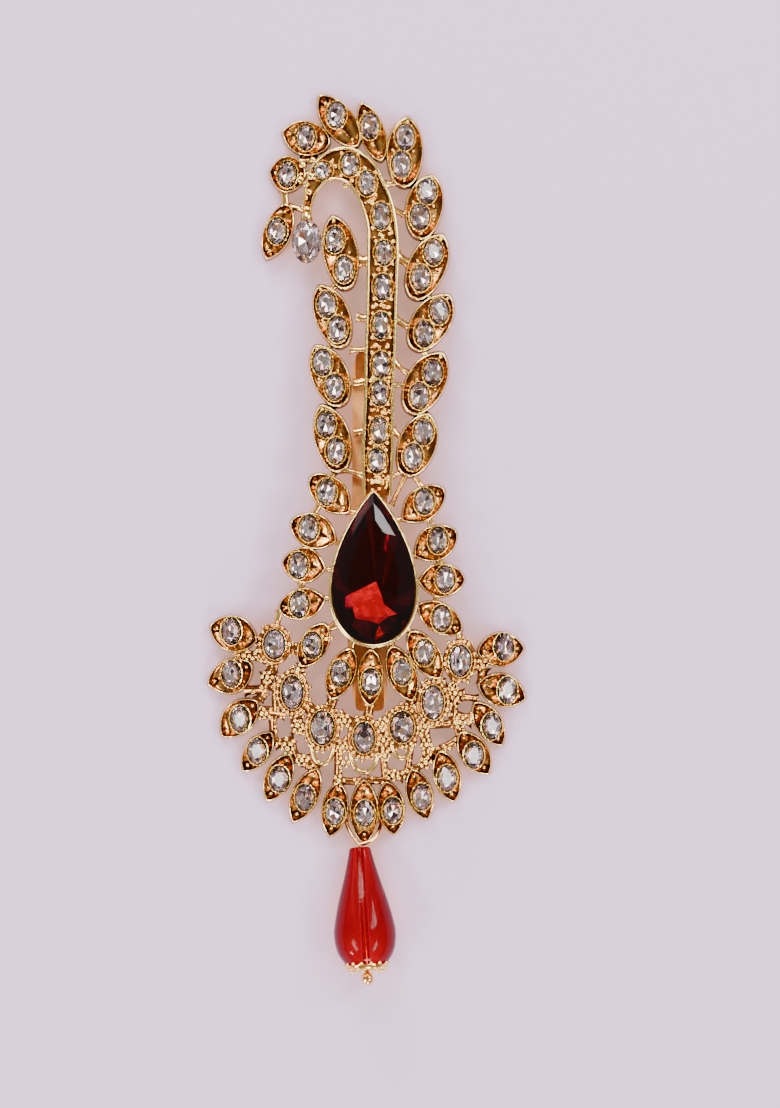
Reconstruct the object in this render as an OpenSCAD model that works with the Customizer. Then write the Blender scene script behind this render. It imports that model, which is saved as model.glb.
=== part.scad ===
// Turban ornament: a cast kalgi brooch with clear stones, a red pear stone and a teardrop bead.
// It lies face up. +Y runs to the crest, +X to the right, +Z to the viewer. Millimetres.
// Every cast part and stone sits on one shallow dome, whose edge touches the surface at z = 0.

/* [Dome] */
// Height of the casting's underside at the middle of the red stone
dome_h = 5.4; // [5:0.1:6.5]
// Half width at which the dome meets the surface
dome_rx = 22.3; // [22:0.1:23]
// Reach of the dome from its middle to the foot of the fan
dome_foot = 32.9; // [32:0.1:34]
// Reach of the dome from its middle to the crest
dome_head = 73; // [72:0.1:75]

/* [Casting] */
// Height of a leaf's rim above the dome
rim_h = 1.5; // [1.4:0.05:1.7]
// Height of the floor of a leaf or of the stem's trough above the dome
floor_h = 0.7; // [0.65:0.05:0.75]
// Height of the stem's walls above the dome
stem_h = 1.8; // [1.6:0.05:2]
// Thickness of the stem's walls
stem_wall = 0.45; // [0.35:0.05:0.5]
// Height of the bezel round the red stone
bezel_h = 2.1; // [1.9:0.05:2.4]
// Height of the pierced web's bars above the dome
bar_h = 0.6; // [0.5:0.05:0.6]
// Diameter of a granulation grain
grain_d = 1; // [0.8:0.05:1.2]

/* [Stones] */
// Width of a small clear stone
stone_w = 2.6; // [2.3:0.05:2.7]
// Length of a small clear stone
stone_l = 3.6; // [3.3:0.05:3.7]
// Clearance between a stone and its seat
seat_gap = 0.1; // [0.1:0.01:0.13]
// Number of sides of a small clear stone
stone_sides = 8; // [8:2:10]
// Number of sides of a clear stone in a collar
main_sides = 10; // [8:2:12]
// Width of the red pear stone
pear_w = 11.6; // [11.2:0.1:11.8]
// Length of the red pear stone
pear_l = 21; // [20.6:0.1:21.2]

/* [Drop] */
// Largest diameter of the teardrop bead
bead_d = 8.7; // [8:0.1:9]
// Length of the teardrop bead
bead_l = 16.8; // [16.5:0.1:17]
// Diameter of the hole along the bead
bead_hole_d = 1; // [0.9:0.05:1.2]
// Diameter of the head pin's wire
wire_d = 0.55; // [0.45:0.05:0.6]

/* [Back pin] */
// Width of the pin's bar
bar_w = 4.9; // [4.5:0.1:5]
// Length of the pin's bar
bar_l = 50; // [48:0.5:51]
// Thickness of the pin's bar
bar_t = 0.8; // [0.7:0.05:0.9]
// Diameter of the pin's needle
needle_d = 1; // [0.8:0.05:1.1]

/* [Hidden] */

gold = [0.86, 0.62, 0.26];
clear = [0.92, 0.93, 0.95];
red = [0.62, 0.02, 0.05];

dome_mid = [0, -10.4];

// Leaf tables. Columns: root x, root y, tip x, tip y, width left of the axis, width right of it,
// then x and y of each stone. Left and right are as seen from the root towards the tip.
right_leaves = [
    [5.2, 48.9, 5.7, 59.0, 2.7, 2.4, 4.8, 52.2, 5.3, 56.1],
    [7.4, 41.6, 9.2, 50.8, 2.9, 2.3, 7.4, 44.8, 8.4, 48.5],
    [6.5, 33.2, 10.6, 42.4, 2.8, 2.5, 7.5, 36.2, 9.3, 39.9],
    [6.5, 26.1, 11.6, 33.9, 2.8, 2.5, 8.0, 28.4, 10.1, 31.6],
    [6.0, 17.2, 10.6, 25.8, 2.9, 2.6, 7.3, 19.7, 9.2, 23.0],
    [5.4, 8.5, 8.6, 17.3, 2.6, 2.7, 6.4, 11.2, 7.9, 14.7],
];
left_leaves = [
    [-2.9, 34.5, -4.8, 45.0, 2.3, 2.6, -3.2, 37.4, -4.5, 41.6],
    [-3.4, 26.4, -6.7, 35.2, 2.2, 2.7, -4.1, 29.0, -5.6, 32.5],
    [-3.6, 18.2, -7.2, 26.8, 2.3, 2.8, -4.5, 20.9, -6.2, 24.4],
    [-3.8, 9.0, -6.4, 18.5, 2.2, 2.8, -4.3, 12.0, -5.7, 15.8],
];
crest_leaves = [
    [-1.3, 54.7, -6.7, 62.1, 2.2, 2.2, -4.3, 59.2],
    [2.0, 52.6, -0.8, 61.0, 1.7, 1.9, 0.4, 57.6],
    [-5.2, 55.1, -11.9, 56.9, 2.5, 2.4, -8.6, 56.1],
    [-8.6, 50.8, -13.7, 51.2, 2.7, 2.5, -11.2, 50.9],
    [-11.1, 46.7, -14.1, 38.9, 2.1, 1.9, -12.6, 42.9],
];
halo_leaves = [
    [-2.4, 3.4, -7.9, 8.5, 2.2, 2.4, -5.6, 6.3],
    [-4.2, -0.5, -10.6, 2.3, 2.5, 2.4, -8.1, 1.3],
    [-5.7, -4.3, -11.8, -3.4, 2.5, 2.5, -9.5, -3.9],
    [-5.7, -8.5, -12.3, -10.0, 2.2, 2.2, -9.4, -9.3],
    [4.9, 2.3, 10.8, 6.8, 2.4, 2.2, 8.0, 5.0],
    [6.6, -2.6, 12.5, 0.9, 2.5, 2.4, 9.9, -0.4],
    [7.1, -6.1, 13.7, -5.8, 2.4, 2.4, 10.9, -5.8],
    [7.0, -9.3, 13.2, -13.2, 2.2, 2.0, 10.4, -11.3],
];
petal_leaves = [
    [-5.7, -12.0, -9.2, -18.0, 2.0, 2.0, -7.6, -15.0],
    [-2.1, -15.4, -5.0, -22.6, 1.9, 2.0, -3.7, -18.9],
    [0.6, -15.5, 0.4, -23.5, 1.8, 1.8, 0.6, -20.1],
    [3.4, -15.1, 6.4, -22.8, 2.0, 2.0, 4.9, -18.7],
    [6.0, -13.0, 10.2, -19.7, 2.1, 2.0, 8.0, -16.0],
];
rim_leaves = [
    [-15.3, -14.4, -22.1, -12.4, 2.6, 2.5, -19.0, -13.1],
    [-16.0, -17.7, -22.35, -20.6, 2.8, 2.1, -19.0, -19.1],
    [-15.3, -22.8, -20.4, -27.9, 2.1, 2.4, -17.8, -25.4],
    [-13.3, -27.2, -17.4, -32.8, 1.8, 1.8, -15.4, -29.9],
    [-10.8, -30.2, -14.0, -37.0, 1.9, 1.9, -12.3, -33.8],
    [-6.9, -32.2, -10.4, -40.0, 1.9, 1.9, -8.7, -36.4],
    [-3.9, -34.1, -5.2, -42.0, 1.9, 1.8, -4.5, -38.4],
    [-0.4, -33.7, -0.4, -43.1, 2.0, 2.0, -0.3, -38.6],
    [2.7, -34.0, 3.8, -41.7, 2.1, 1.8, 3.6, -38.2],
    [6.3, -32.3, 8.4, -39.6, 1.9, 1.8, 7.7, -36.3],
    [10.2, -29.7, 12.2, -37.1, 1.9, 1.9, 11.2, -33.7],
    [13.0, -27.2, 17.1, -33.2, 2.0, 2.0, 15.0, -30.5],
    [15.0, -23.0, 19.0, -29.2, 2.0, 1.8, 17.5, -26.4],
    [15.5, -20.4, 22.3, -22.6, 2.5, 2.2, 19.7, -21.4],
    [15.4, -15.9, 22.1, -15.5, 2.5, 2.4, 19.2, -15.3],
];

// Roundness exponents of the leaf groups at the root and the tip: 1 is round, 2 is a sharp point.
side_ends = [0.9, 1.3];
crest_ends = [1.1, 1.5];
halo_ends = [1.8, 1.2];
petal_ends = [1.2, 1.5];
rim_ends = [1.4, 1.6];

// Stem channel. Columns: left wall x, left wall y, right wall x, right wall y, foot to curl.
stem_rows = [
    [-0.6, 5.8, 3.5, 5.8],
    [-0.7, 12.3, 3.8, 12.3],
    [-0.4, 19.3, 3.8, 19.3],
    [-0.3, 26.3, 4.1, 26.3],
    [-0.1, 33.2, 4.3, 33.2],
    [0.0, 40.3, 4.5, 40.3],
    [-0.1, 43.6, 4.2, 44.2],
    [-1.0, 46.6, 3.5, 47.3],
    [-2.0, 48.4, 2.4, 49.8],
    [-2.9, 49.5, 1.0, 52.6],
    [-4.1, 49.9, -1.8, 54.5],
    [-5.3, 49.8, -4.8, 54.4],
    [-6.4, 48.9, -7.6, 52.4],
    [-7.3, 47.4, -8.7, 49.1],
    [-7.8, 45.4, -9.0, 45.6],
];
// Stones along the channel. Columns: x, y, length.
stem_seats = [
    [1.4, 10.7, 3.4], [1.7, 14.9, 3.6], [1.8, 20.1, 3.5], [2.0, 24.0, 3.7], [2.0, 29.5, 3.7],
    [2.2, 34.9, 3.6], [2.4, 39.7, 3.4], [2.0, 44.9, 3.7], [0.0, 49.5, 3.4], [-2.4, 52.2, 3.3],
    [-6.2, 51.3, 2.6],
];

// Oval collar stones. Columns: x, y, width, length.
collar_rows = [
    [-12.9, -14.9, 2.8, 3.9],
    [-10.4, -21.6, 2.8, 4.5],
    [-6.2, -26.5, 3.1, 4.6],
    [-0.4, -27.9, 2.8, 4.2],
    [4.9, -26.4, 3.1, 4.2],
    [9.2, -23.0, 2.8, 4.5],
    [13.0, -17.2, 2.8, 4.2],
];
// Thickness of a collar round its stone
collar_wall = 0.85;

// Ties between the stem and its leaves, and from leaf to leaf.
// Columns: x and y of one end, x and y of the other end, width.
stem_ties = [
    [2.6, 49.4, 4.4, 49.8, 1.2],
    [3.5, 46.0, 5.2, 45.2, 1.0],
    [4.1, 39.4, 6.0, 38.2, 1.6],
    [3.9, 30.6, 6.2, 29.2, 1.2],
    [3.8, 24.6, 5.6, 23.0, 0.9],
    [3.7, 21.2, 5.4, 21.2, 0.9],
    [3.5, 15.2, 5.0, 13.8, 1.0],
    [3.3, 8.4, 5.4, 9.4, 0.9],
    [6.4, 49.6, 7.6, 49.2, 1.2],
    [8.0, 42.0, 9.0, 41.4, 1.2],
    [8.2, 33.9, 9.2, 33.3, 1.2],
    [7.8, 26.2, 8.8, 25.0, 1.1],
    [7.4, 17.7, 8.0, 16.7, 1.1],
    [6.4, 9.0, 8.0, 6.6, 1.1],
    [0.2, 38.6, -1.0, 38.6, 1.8],
    [0.1, 30.6, -1.4, 30.8, 1.3],
    [-0.1, 26.2, -2.4, 26.2, 1.0],
    [-0.2, 21.8, -2.0, 21.6, 1.2],
    [-0.4, 14.8, -1.8, 14.6, 1.2],
    [-0.5, 8.6, -3.4, 9.4, 1.0],
    [-4.4, 35.3, -5.4, 34.6, 1.1],
    [-4.8, 26.9, -5.6, 26.2, 1.1],
    [-4.8, 18.7, -5.6, 18.0, 1.1],
    [-4.6, 9.1, -5.4, 8.2, 1.1],
    [-8.0, 50.8, -9.4, 50.8, 1.4],
    [-6.8, 53.0, -9.4, 52.8, 1.2],
    [-11.6, 48.6, -11.4, 46.2, 1.3],
    [-11.0, 46.4, -8.4, 45.6, 1.0],
];
// Ties round the red stone, to its bezel and from leaf to leaf. Same columns.
halo_ties = [
    [-2.9, 3.6, -1.2, 3.4, 1.0],
    [-4.8, -0.4, -3.5, -0.9, 0.9],
    [-6.2, -4.3, -4.8, -4.5, 0.9],
    [-6.2, -8.5, -5.0, -8.6, 0.9],
    [-6.6, 4.7, -7.4, 3.3, 1.1],
    [-8.6, -0.7, -8.8, -1.9, 1.3],
    [-9.2, -6.1, -9.3, -7.5, 1.3],
    [5.2, 2.6, 3.9, 2.2, 0.9],
    [7.0, -2.6, 5.7, -2.7, 0.9],
    [7.5, -6.2, 6.4, -6.2, 0.9],
    [7.5, -9.6, 6.2, -9.1, 0.9],
    [8.6, 3.1, 9.0, 1.9, 1.2],
    [10.2, -1.8, 10.4, -3.6, 1.3],
    [9.8, -8.0, 9.6, -9.4, 1.3],
    [3.4, 4.4, 5.5, 8.8, 0.8],
    [-6.4, -13.0, -4.4, -12.2, 1.2],
    [-2.4, -16.3, -2.0, -14.2, 1.2],
    [0.6, -16.0, 0.8, -14.7, 1.2],
    [3.6, -15.7, 3.2, -14.1, 1.2],
    [6.4, -13.4, 5.3, -12.3, 1.1],
    [-12.1, -10.2, -12.8, -12.6, 1.2],
    [12.8, -13.0, 13.0, -14.8, 1.2],
];
// Bars of the pierced fan between the petals, the collars and the rim. Same columns.
fan_bars = [
    [-11.2, -15.4, -9.4, -15.6, 1.9],
    [11.4, -17.4, 9.8, -17.6, 1.8],
    [-15.5, -14.5, -14.3, -14.5, 1.8],
    [-18.6, -16.2, -14.0, -16.8, 1.6],
    [-17.2, -21.4, -14.4, -21.2, 1.5],
    [-13.2, -17.2, -13.4, -18.8, 1.8],
    [-12.9, -20.0, -11.7, -20.2, 1.7],
    [-13.8, -18.8, -14.0, -21.4, 2.2],
    [-14.4, -21.4, -15.3, -22.8, 1.6],
    [-12.8, -20.6, -12.7, -24.4, 1.2],
    [-15.8, -24.3, -11.4, -24.6, 1.8],
    [-13.2, -25.0, -12.9, -29.0, 1.3],
    [-9.8, -24.2, -9.4, -27.4, 2.2],
    [-9.4, -26.9, -8.1, -27.0, 1.3],
    [-12.9, -28.8, -10.1, -28.4, 1.6],
    [-9.0, -23.1, -7.5, -24.5, 2.1],
    [-10.5, -28.6, -9.8, -30.8, 1.3],
    [-10.4, -30.8, -8.2, -31.4, 1.9],
    [-8.6, -31.4, -7.1, -32.8, 1.7],
    [-3.9, -28.6, -4.0, -34.4, 1.3],
    [-4.8, -28.75, -2.0, -28.55, 1.7],
    [-4.0, -34.0, -0.8, -34.1, 1.3],
    [-4.1, -24.8, -1.9, -26.2, 1.8],
    [-4.8, -22.3, -5.4, -24.1, 1.7],
    [0.4, -23.2, -0.2, -25.5, 1.6],
    [6.3, -22.5, 5.7, -24.1, 1.6],
    [-9.1, -17.7, -9.7, -19.1, 1.6],
    [10.1, -19.5, 10.0, -20.7, 1.7],
    [2.0, -25.4, 2.3, -30.2, 2.1],
    [2.3, -29.8, 2.7, -34.0, 1.2],
    [2.6, -33.0, 5.2, -33.4, 1.6],
    [5.0, -33.3, 6.5, -32.5, 1.4],
    [5.7, -33.0, 6.35, -28.3, 1.1],
    [0.0, -33.9, 2.8, -33.9, 1.3],
    [6.5, -26.4, 8.0, -26.2, 1.3],
    [7.8, -25.6, 8.6, -31.4, 1.8],
    [8.3, -31.4, 6.7, -32.4, 1.3],
    [8.4, -29.9, 10.2, -29.9, 1.4],
    [8.2, -26.2, 12.4, -26.0, 1.3],
    [10.4, -29.7, 12.7, -28.4, 1.3],
    [12.2, -25.2, 14.8, -25.6, 2.0],
    [12.8, -25.8, 13.3, -27.8, 1.7],
    [14.2, -25.4, 15.5, -24.4, 1.4],
    [12.1, -22.2, 12.1, -25.4, 1.3],
    [10.7, -21.4, 13.4, -22.2, 2.0],
    [11.7, -21.3, 12.4, -19.5, 1.4],
    [13.2, -22.3, 15.6, -22.6, 1.2],
    [14.3, -16.9, 16.8, -18.0, 2.1],
    [16.4, -18.2, 16.2, -20.6, 1.7],
];

// Grains that cover the joints of the fan. Columns: x, y.
grain_rows = [
    [-14.3, -18.8], [-14.7, -20.1], [-13.6, -20.5], [-14.0, -21.4],
    [-14.7, -23.7], [-13.7, -24.6],
    [-10.4, -25.6], [-9.2, -25.8], [-10.1, -27.0],
    [-12.2, -28.5], [-11.1, -28.8], [-11.8, -29.8],
    [-9.0, -30.6], [-8.0, -31.3], [-9.2, -31.9],
    [-4.1, -28.6], [-2.9, -29.1], [-4.1, -31.2],
    [-3.8, -25.0], [-2.8, -25.7],
    [1.8, -27.0], [2.5, -28.1], [1.8, -29.2],
    [2.9, -32.6], [4.1, -32.8],
    [7.6, -25.8], [8.4, -26.8], [8.0, -28.1], [8.3, -31.3],
    [11.5, -21.4], [12.6, -21.1],
    [12.3, -25.4], [13.4, -25.8], [13.0, -27.0],
    [15.5, -16.7], [16.7, -17.4], [15.7, -18.3],
    [-17.2, -16.6], [-16.1, -16.0],
    [-6.2, -13.2],
];

// Wire loops under three collars. Columns: x, y of the loop's middle, half width, depth.
loop_rows = [
    [-6.2, -28.4, 1.6, 3.3],
    [-0.4, -30.0, 1.9, 2.8],
    [4.9, -28.2, 1.5, 2.6],
];

crest_drop_at = [-8.4, 41.3];
crest_drop_size = [4.2, 6.2];
pear_at = [0.95, -4.3];

// Axis of the bead, from its upper end to its lower end
bead_top = [-1.0, -43.4, 2.5];
bead_lean = 9;
bead_slew = 3.5;

// Height of the dome above the surface at a place in plan
function dome_reach(y) = y < dome_mid[1] ? dome_foot : dome_head;
function dome_ratio(x, y) =
    pow((x - dome_mid[0]) / dome_rx, 2) + pow((y - dome_mid[1]) / dome_reach(y), 2);
function dome(x, y) = max(0, dome_h * (1 - dome_ratio(x, y)));
function dome_dx(x, y) = dome(x, y) > 0 ? -2 * dome_h * (x - dome_mid[0]) / pow(dome_rx, 2) : 0;
function dome_dy(x, y) = dome(x, y) > 0 ? -2 * dome_h * (y - dome_mid[1]) / pow(dome_reach(y), 2) : 0;
function on_dome(p, h) = [p[0], p[1], dome(p[0], p[1]) + h];
// The plane that touches the dome at c, so that a stone set there stays flat
function on_plane(c, p, h) = [
    p[0], p[1],
    dome(c[0], c[1]) + dome_dx(c[0], c[1]) * (p[0] - c[0]) + dome_dy(c[0], c[1]) * (p[1] - c[1]) + h,
];

// Closed skin over rings of equal length, each a list of points going round the same way
function ring_faces(rings, n) = concat(
    [[for (i = [0 : n - 1]) n - 1 - i]],
    [for (r = [0 : rings - 2]) for (i = [0 : n - 1])
        [r * n + i, r * n + (i + 1) % n, (r + 1) * n + (i + 1) % n, (r + 1) * n + i]],
    [[for (i = [0 : n - 1]) (rings - 1) * n + i]]
);
module skin(rings) {
    polyhedron(
        points = [for (ring = rings) each ring],
        faces = [for (f = ring_faces(len(rings), len(rings[0]))) [for (i = [len(f) - 1 : -1 : 0]) f[i]]],
        convexity = 6
    );
}

// Leaf outline: points per side, from the root along the right side to the tip and back
leaf_steps = 6;
function leaf_side(a, ends) = pow(sin(a), ends[0] + (ends[1] - ends[0]) * (1 - cos(a)) / 2);
function leaf_point(row, ends, a) =
    let (
        root = [row[0], row[1]],
        axis = [row[2] - row[0], row[3] - row[1]],
        along = axis / norm(axis),
        left = [-along[1], along[0]],
        side = a < 180 ? -row[5] * leaf_side(a, ends) : row[4] * leaf_side(360 - a, ends)
    )
    root + axis * (1 - cos(a)) / 2 + left * side;
function leaf_outline(row, ends) =
    [for (i = [0 : 2 * leaf_steps - 1]) leaf_point(row, ends, 180 * i / leaf_steps)];
function leaf_mid(row) = [(row[0] + row[2]) / 2, (row[1] + row[3]) / 2];
function shrink(outline, mid, k) = [for (p = outline) mid + (p - mid) * k];
function lifted(outline, h) = [for (p = outline) on_dome(p, h)];

module leaf(row, ends) {
    line = leaf_outline(row, ends);
    mid = leaf_mid(row);
    skin([
        lifted(shrink(line, mid, 1.05), 0),
        lifted(shrink(line, mid, 0.98), rim_h),
        lifted(shrink(line, mid, 0.89), rim_h),
        lifted(shrink(line, mid, 0.82), floor_h),
    ]);
}
module leaves(rows, ends) {
    for (row = rows) leaf(row, ends);
}

// Oval seats and stones
function oval(c, size, sides) = [
    for (i = [0 : sides - 1])
        let (a = 360 * (i + 0.5) / sides) [c[0] + size[0] / 2 * cos(a), c[1] + size[1] / 2 * sin(a)]
];
function on_planes(c, ring, h) = [for (p = ring) on_plane(c, p, h)];
seat_floor = floor_h + 0.01;
seat_depth = 0.4;
seat_top = 3.5;
stone_foot = floor_h + seat_gap;
small_stone = [stone_w, stone_l];
// Heights of the stones, and their foot, girdle and table as shares of the width or the height
small_rise = 1.25;
collar_rise = 1.45;
drop_rise = 2.2;
foot_share = 0.45;
girdle_share = 0.55;
table_share = 0.58;

module seat(c, size, sides) {
    hole = oval(c, size + [2, 2] * seat_gap, sides);
    skin([
        on_planes(c, shrink(hole, c, foot_share + 0.05), seat_floor),
        on_planes(c, hole, stone_foot + seat_depth),
        on_planes(c, hole, seat_top),
    ]);
}
module seats(rows) {
    for (row = rows) {
        seat([row[6], row[7]], small_stone, stone_sides);
        if (len(row) > 8) seat([row[8], row[9]], small_stone, stone_sides);
    }
}
// Stone with a flat foot, girdle, crown facets and table. Heights are above the dome.
module cut_stone(c, size, rise, sides) {
    girdle = oval(c, size, sides);
    skin([
        on_planes(c, shrink(girdle, c, foot_share), stone_foot),
        on_planes(c, girdle, stone_foot + girdle_share * rise),
        on_planes(c, shrink(girdle, c, table_share), stone_foot + rise),
    ]);
}
module stone_field(rows) {
    for (row = rows) {
        cut_stone([row[6], row[7]], small_stone, small_rise, stone_sides);
        if (len(row) > 8) cut_stone([row[8], row[9]], small_stone, small_rise, stone_sides);
    }
}

// Stem channel: a trough swept between its two walls
function stem_ring(row) =
    let (
        l = [row[0], row[1]],
        r = [row[2], row[3]],
        k = stem_wall / norm(r - l),
        li = l + (r - l) * k,
        ri = r - (r - l) * k
    )
    [
        on_dome(l, 0), on_dome(l, stem_h), on_dome(li, stem_h), on_dome(li, floor_h),
        on_dome(ri, floor_h), on_dome(ri, stem_h), on_dome(r, stem_h), on_dome(r, 0),
    ];
module stem() {
    skin([for (row = stem_rows) stem_ring(row)]);
}

// Pear outline, point up: a round foot that narrows to the point at angle 0
pear_steps = 24;
pear_pinch = 0.8;
pear_peak = 0.803;
function pear_half(a) = sin(a) * pow(abs(sin(a / 2)), pear_pinch) / pear_peak;
function pear(c, w, l, steps) = [
    for (i = [0 : steps - 1])
        let (a = 360 * i / steps)
        [c[0] - w / 2 * (a <= 180 ? pear_half(a) : -pear_half(360 - a)), c[1] + l / 2 * cos(a)]
];
function pear_level(w, l, h) = [
    for (p = pear(pear_at, w, l, pear_steps)) [p[0], p[1], dome_h + h]
];
bezel_wall = 0.45;
bezel_foot = -0.9;

module bezel() {
    outer = 2 * (bezel_wall + seat_gap);
    inner = 2 * seat_gap;
    skin([
        pear_level(pear_w + outer, pear_l + outer, bezel_foot),
        pear_level(pear_w + outer, pear_l + outer, bezel_h),
        pear_level(pear_w + inner, pear_l + inner, bezel_h),
        pear_level(pear_w + inner, pear_l + inner, floor_h),
    ]);
}

collar_gap = seat_gap + 0.03;
module collar(row) {
    inner = [row[2], row[3]] + [2, 2] * collar_gap;
    outer = inner + [2, 2] * collar_wall;
    skin([
        on_planes(row, oval(row, outer, main_sides), 0),
        on_planes(row, oval(row, outer, main_sides), rim_h),
        on_planes(row, oval(row, inner, main_sides), rim_h),
        on_planes(row, oval(row, inner, main_sides), floor_h),
    ]);
}

// A bar of the web: a low ridge between two places. Each end is a thin wedge that points inwards.
bar_foot = 0.05;
bar_wedge = 0.1;
module bar_end(p, inward, w) {
    across = w / 2 * [-inward[1], inward[0]];
    polyhedron(
        points = [
            on_dome(p - across, bar_foot), on_dome(p + across, bar_foot),
            on_dome(p, bar_h), on_dome(p + bar_wedge * inward, bar_h / 2),
        ],
        faces = [[0, 1, 2], [0, 3, 1], [1, 3, 2], [2, 3, 0]]
    );
}
module bar(row) {
    a = [row[0], row[1]];
    b = [row[2], row[3]];
    along = (b - a) / norm(b - a);
    hull() {
        bar_end(a, along, row[4]);
        bar_end(b, -along, row[4]);
    }
}
grain_foot = 0.4;
grain_h = 0.8;
module grain(p) {
    translate(on_dome(p, grain_foot)) cylinder(d1 = grain_d, d2 = 0.5 * grain_d, h = grain_h, $fn = 5);
}

// A wire loop: a half ring that hangs below a collar
loop_steps = 6;
loop_wall = 0.8;
loop_h = bar_h + 0.3;
function loop_ring(row, a) = [
    for (side = [[-loop_wall / 2, bar_foot], [loop_wall / 4, loop_h], [loop_wall / 2, bar_foot]])
        on_dome([row[0] + (row[2] + side[0]) * cos(a), row[1] + (row[3] + side[0]) * sin(a)], side[1])
];
module wire_loop(row) {
    skin([for (i = [0 : loop_steps]) loop_ring(row, 180 + 180 * i / loop_steps)]);
}

// Cap at the curl's end and the cup that holds the crest's drop stone
crest_cap_h = 0.9;
// Its two ends. Columns: x, y, diameter.
crest_cap_rows = [[-8.4, 45.2, 1.6], [-8.4, 44.5, 1.7]];
module crest_cap() {
    hull() for (row = crest_cap_rows)
        translate(on_dome(row, crest_cap_h)) sphere(d = row[2], $fn = 8);
}
// Levels of the cup. Columns: share of the stone's outline, height.
crest_cup_rows = [[0.6, 0.2], [0.98, rim_h], [0.84, rim_h], [0.52, floor_h]];
module crest_cup() {
    line = oval(crest_drop_at, crest_drop_size, main_sides);
    skin([
        for (row = crest_cup_rows)
            on_planes(crest_drop_at, shrink(line, crest_drop_at, row[0]), row[1])
    ]);
}

// Eye under the lowest rim leaf, which holds the head pin's loop
eye_at = [-0.4, -38.4];
eye_r = 0.65;
eye_wire = 0.4;
eye_lift = 0.02;
module eye() {
    translate([eye_at[0], eye_at[1], eye_r + eye_wire / 2 + eye_lift]) rotate([0, 90, 0])
        rotate_extrude($fn = 8) translate([eye_r, 0]) circle(d = eye_wire, $fn = 5);
}

// Top of the bar pin's bar, its middle in plan, and the pads of the casting that it is fixed to
bar_top = 3.95;
bar_mid = [0.4, 0.8];
pad_side = 4;
head_pad_h = 0.55;
foot_pad_h = 0.9;
pad_reach = bar_l / 2 - pad_side / 2;
module pad(y, h) {
    translate([bar_mid[0] - pad_side / 2, y - pad_side / 2, bar_top + seat_gap])
        cube([pad_side, pad_side, h]);
}

module casting() {
    color(gold) difference() {
        union() {
            leaves(right_leaves, side_ends);
            leaves(left_leaves, side_ends);
            leaves(crest_leaves, crest_ends);
            leaves(halo_leaves, halo_ends);
            leaves(petal_leaves, petal_ends);
            leaves(rim_leaves, rim_ends);
            stem();
            bezel();
            for (row = collar_rows) collar(row);
            for (row = concat(stem_ties, halo_ties, fan_bars)) bar(row);
            for (p = grain_rows) grain(p);
            for (row = loop_rows) wire_loop(row);
            crest_cap();
            crest_cup();
            eye();
            pad(bar_mid[1] + pad_reach, head_pad_h);
            pad(bar_mid[1] - pad_reach, foot_pad_h);
        }
        seats(right_leaves);
        seats(left_leaves);
        seats(crest_leaves);
        seats(halo_leaves);
        seats(petal_leaves);
        seats(rim_leaves);
        for (row = stem_seats) seat([row[0], row[1]], [stone_w, row[2]], stone_sides);
        for (row = collar_rows) seat([row[0], row[1]], [row[2], row[3]], main_sides);
    }
}

pear_table = 0.64;
pear_rise = 1.2;
module red_stone() {
    color(red) skin([
        pear_level(pear_w * foot_share, pear_l * foot_share, stone_foot),
        pear_level(pear_w, pear_l, bezel_h - 0.15),
        pear_level(pear_w, pear_l, bezel_h + 0.1),
        pear_level(pear_w * pear_table, pear_l * pear_table, bezel_h + pear_rise),
    ]);
}

module crest_drop_stone() {
    color(clear) cut_stone(crest_drop_at, crest_drop_size, drop_rise, main_sides);
}
module collar_stone(i) {
    row = collar_rows[i];
    color(clear) cut_stone([row[0], row[1]], [row[2], row[3]], collar_rise, main_sides);
}
module stem_stones() {
    color(clear) for (row = stem_seats)
        cut_stone([row[0], row[1]], [stone_w, row[2]], small_rise, stone_sides);
}
module right_leaf_stones() {
    color(clear) stone_field(right_leaves);
}
module left_leaf_stones() {
    color(clear) stone_field(left_leaves);
}
module crest_stones() {
    color(clear) stone_field(crest_leaves);
}
module halo_stones() {
    color(clear) stone_field(halo_leaves);
}
module petal_stones() {
    color(clear) stone_field(petal_leaves);
}
module rim_stones() {
    color(clear) stone_field(rim_leaves);
}

// Bead frame: z along the bead from its upper end, leaning down to rest on the belly
module bead_frame() {
    translate(bead_top) rotate([0, 0, bead_slew]) rotate([90 - bead_lean, 0, 0]) children();
}
// Bead profile. Columns: share of the length, share of the largest radius.
bead_rows = [
    [0, 0.34], [0.08, 0.4], [0.18, 0.5], [0.3, 0.63], [0.42, 0.77], [0.54, 0.89],
    [0.64, 0.97], [0.71, 1], [0.79, 0.98], [0.87, 0.9], [0.94, 0.74], [1, 0.5],
];
module drop_bead() {
    color(red) bead_frame() difference() {
        rotate_extrude($fn = 64) polygon(concat(
            [[0, 0]],
            [for (row = bead_rows) [row[1] * bead_d / 2, row[0] * bead_l]],
            [[0, bead_l]]
        ));
        translate([0, 0, -1]) cylinder(d = bead_hole_d, h = bead_l + 2, $fn = 24);
    }
}

cap_d = 5.5;
cap_lobes = 10;
cap_lobe_d = 1.2;
cap_t = 0.35;
module bead_cap() {
    color(gold) bead_frame() translate([0, 0, bead_l + seat_gap]) difference() {
        union() {
            cylinder(d = cap_d - cap_lobe_d * 2 / 3, h = cap_t, $fn = 40);
            for (i = [0 : cap_lobes - 1])
                rotate(360 * i / cap_lobes) translate([(cap_d - cap_lobe_d) / 2, 0])
                    cylinder(d = cap_lobe_d, h = cap_t, $fn = 20);
        }
        translate([0, 0, -1]) cylinder(d = bead_hole_d, h = 2, $fn = 24);
    }
}

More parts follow.
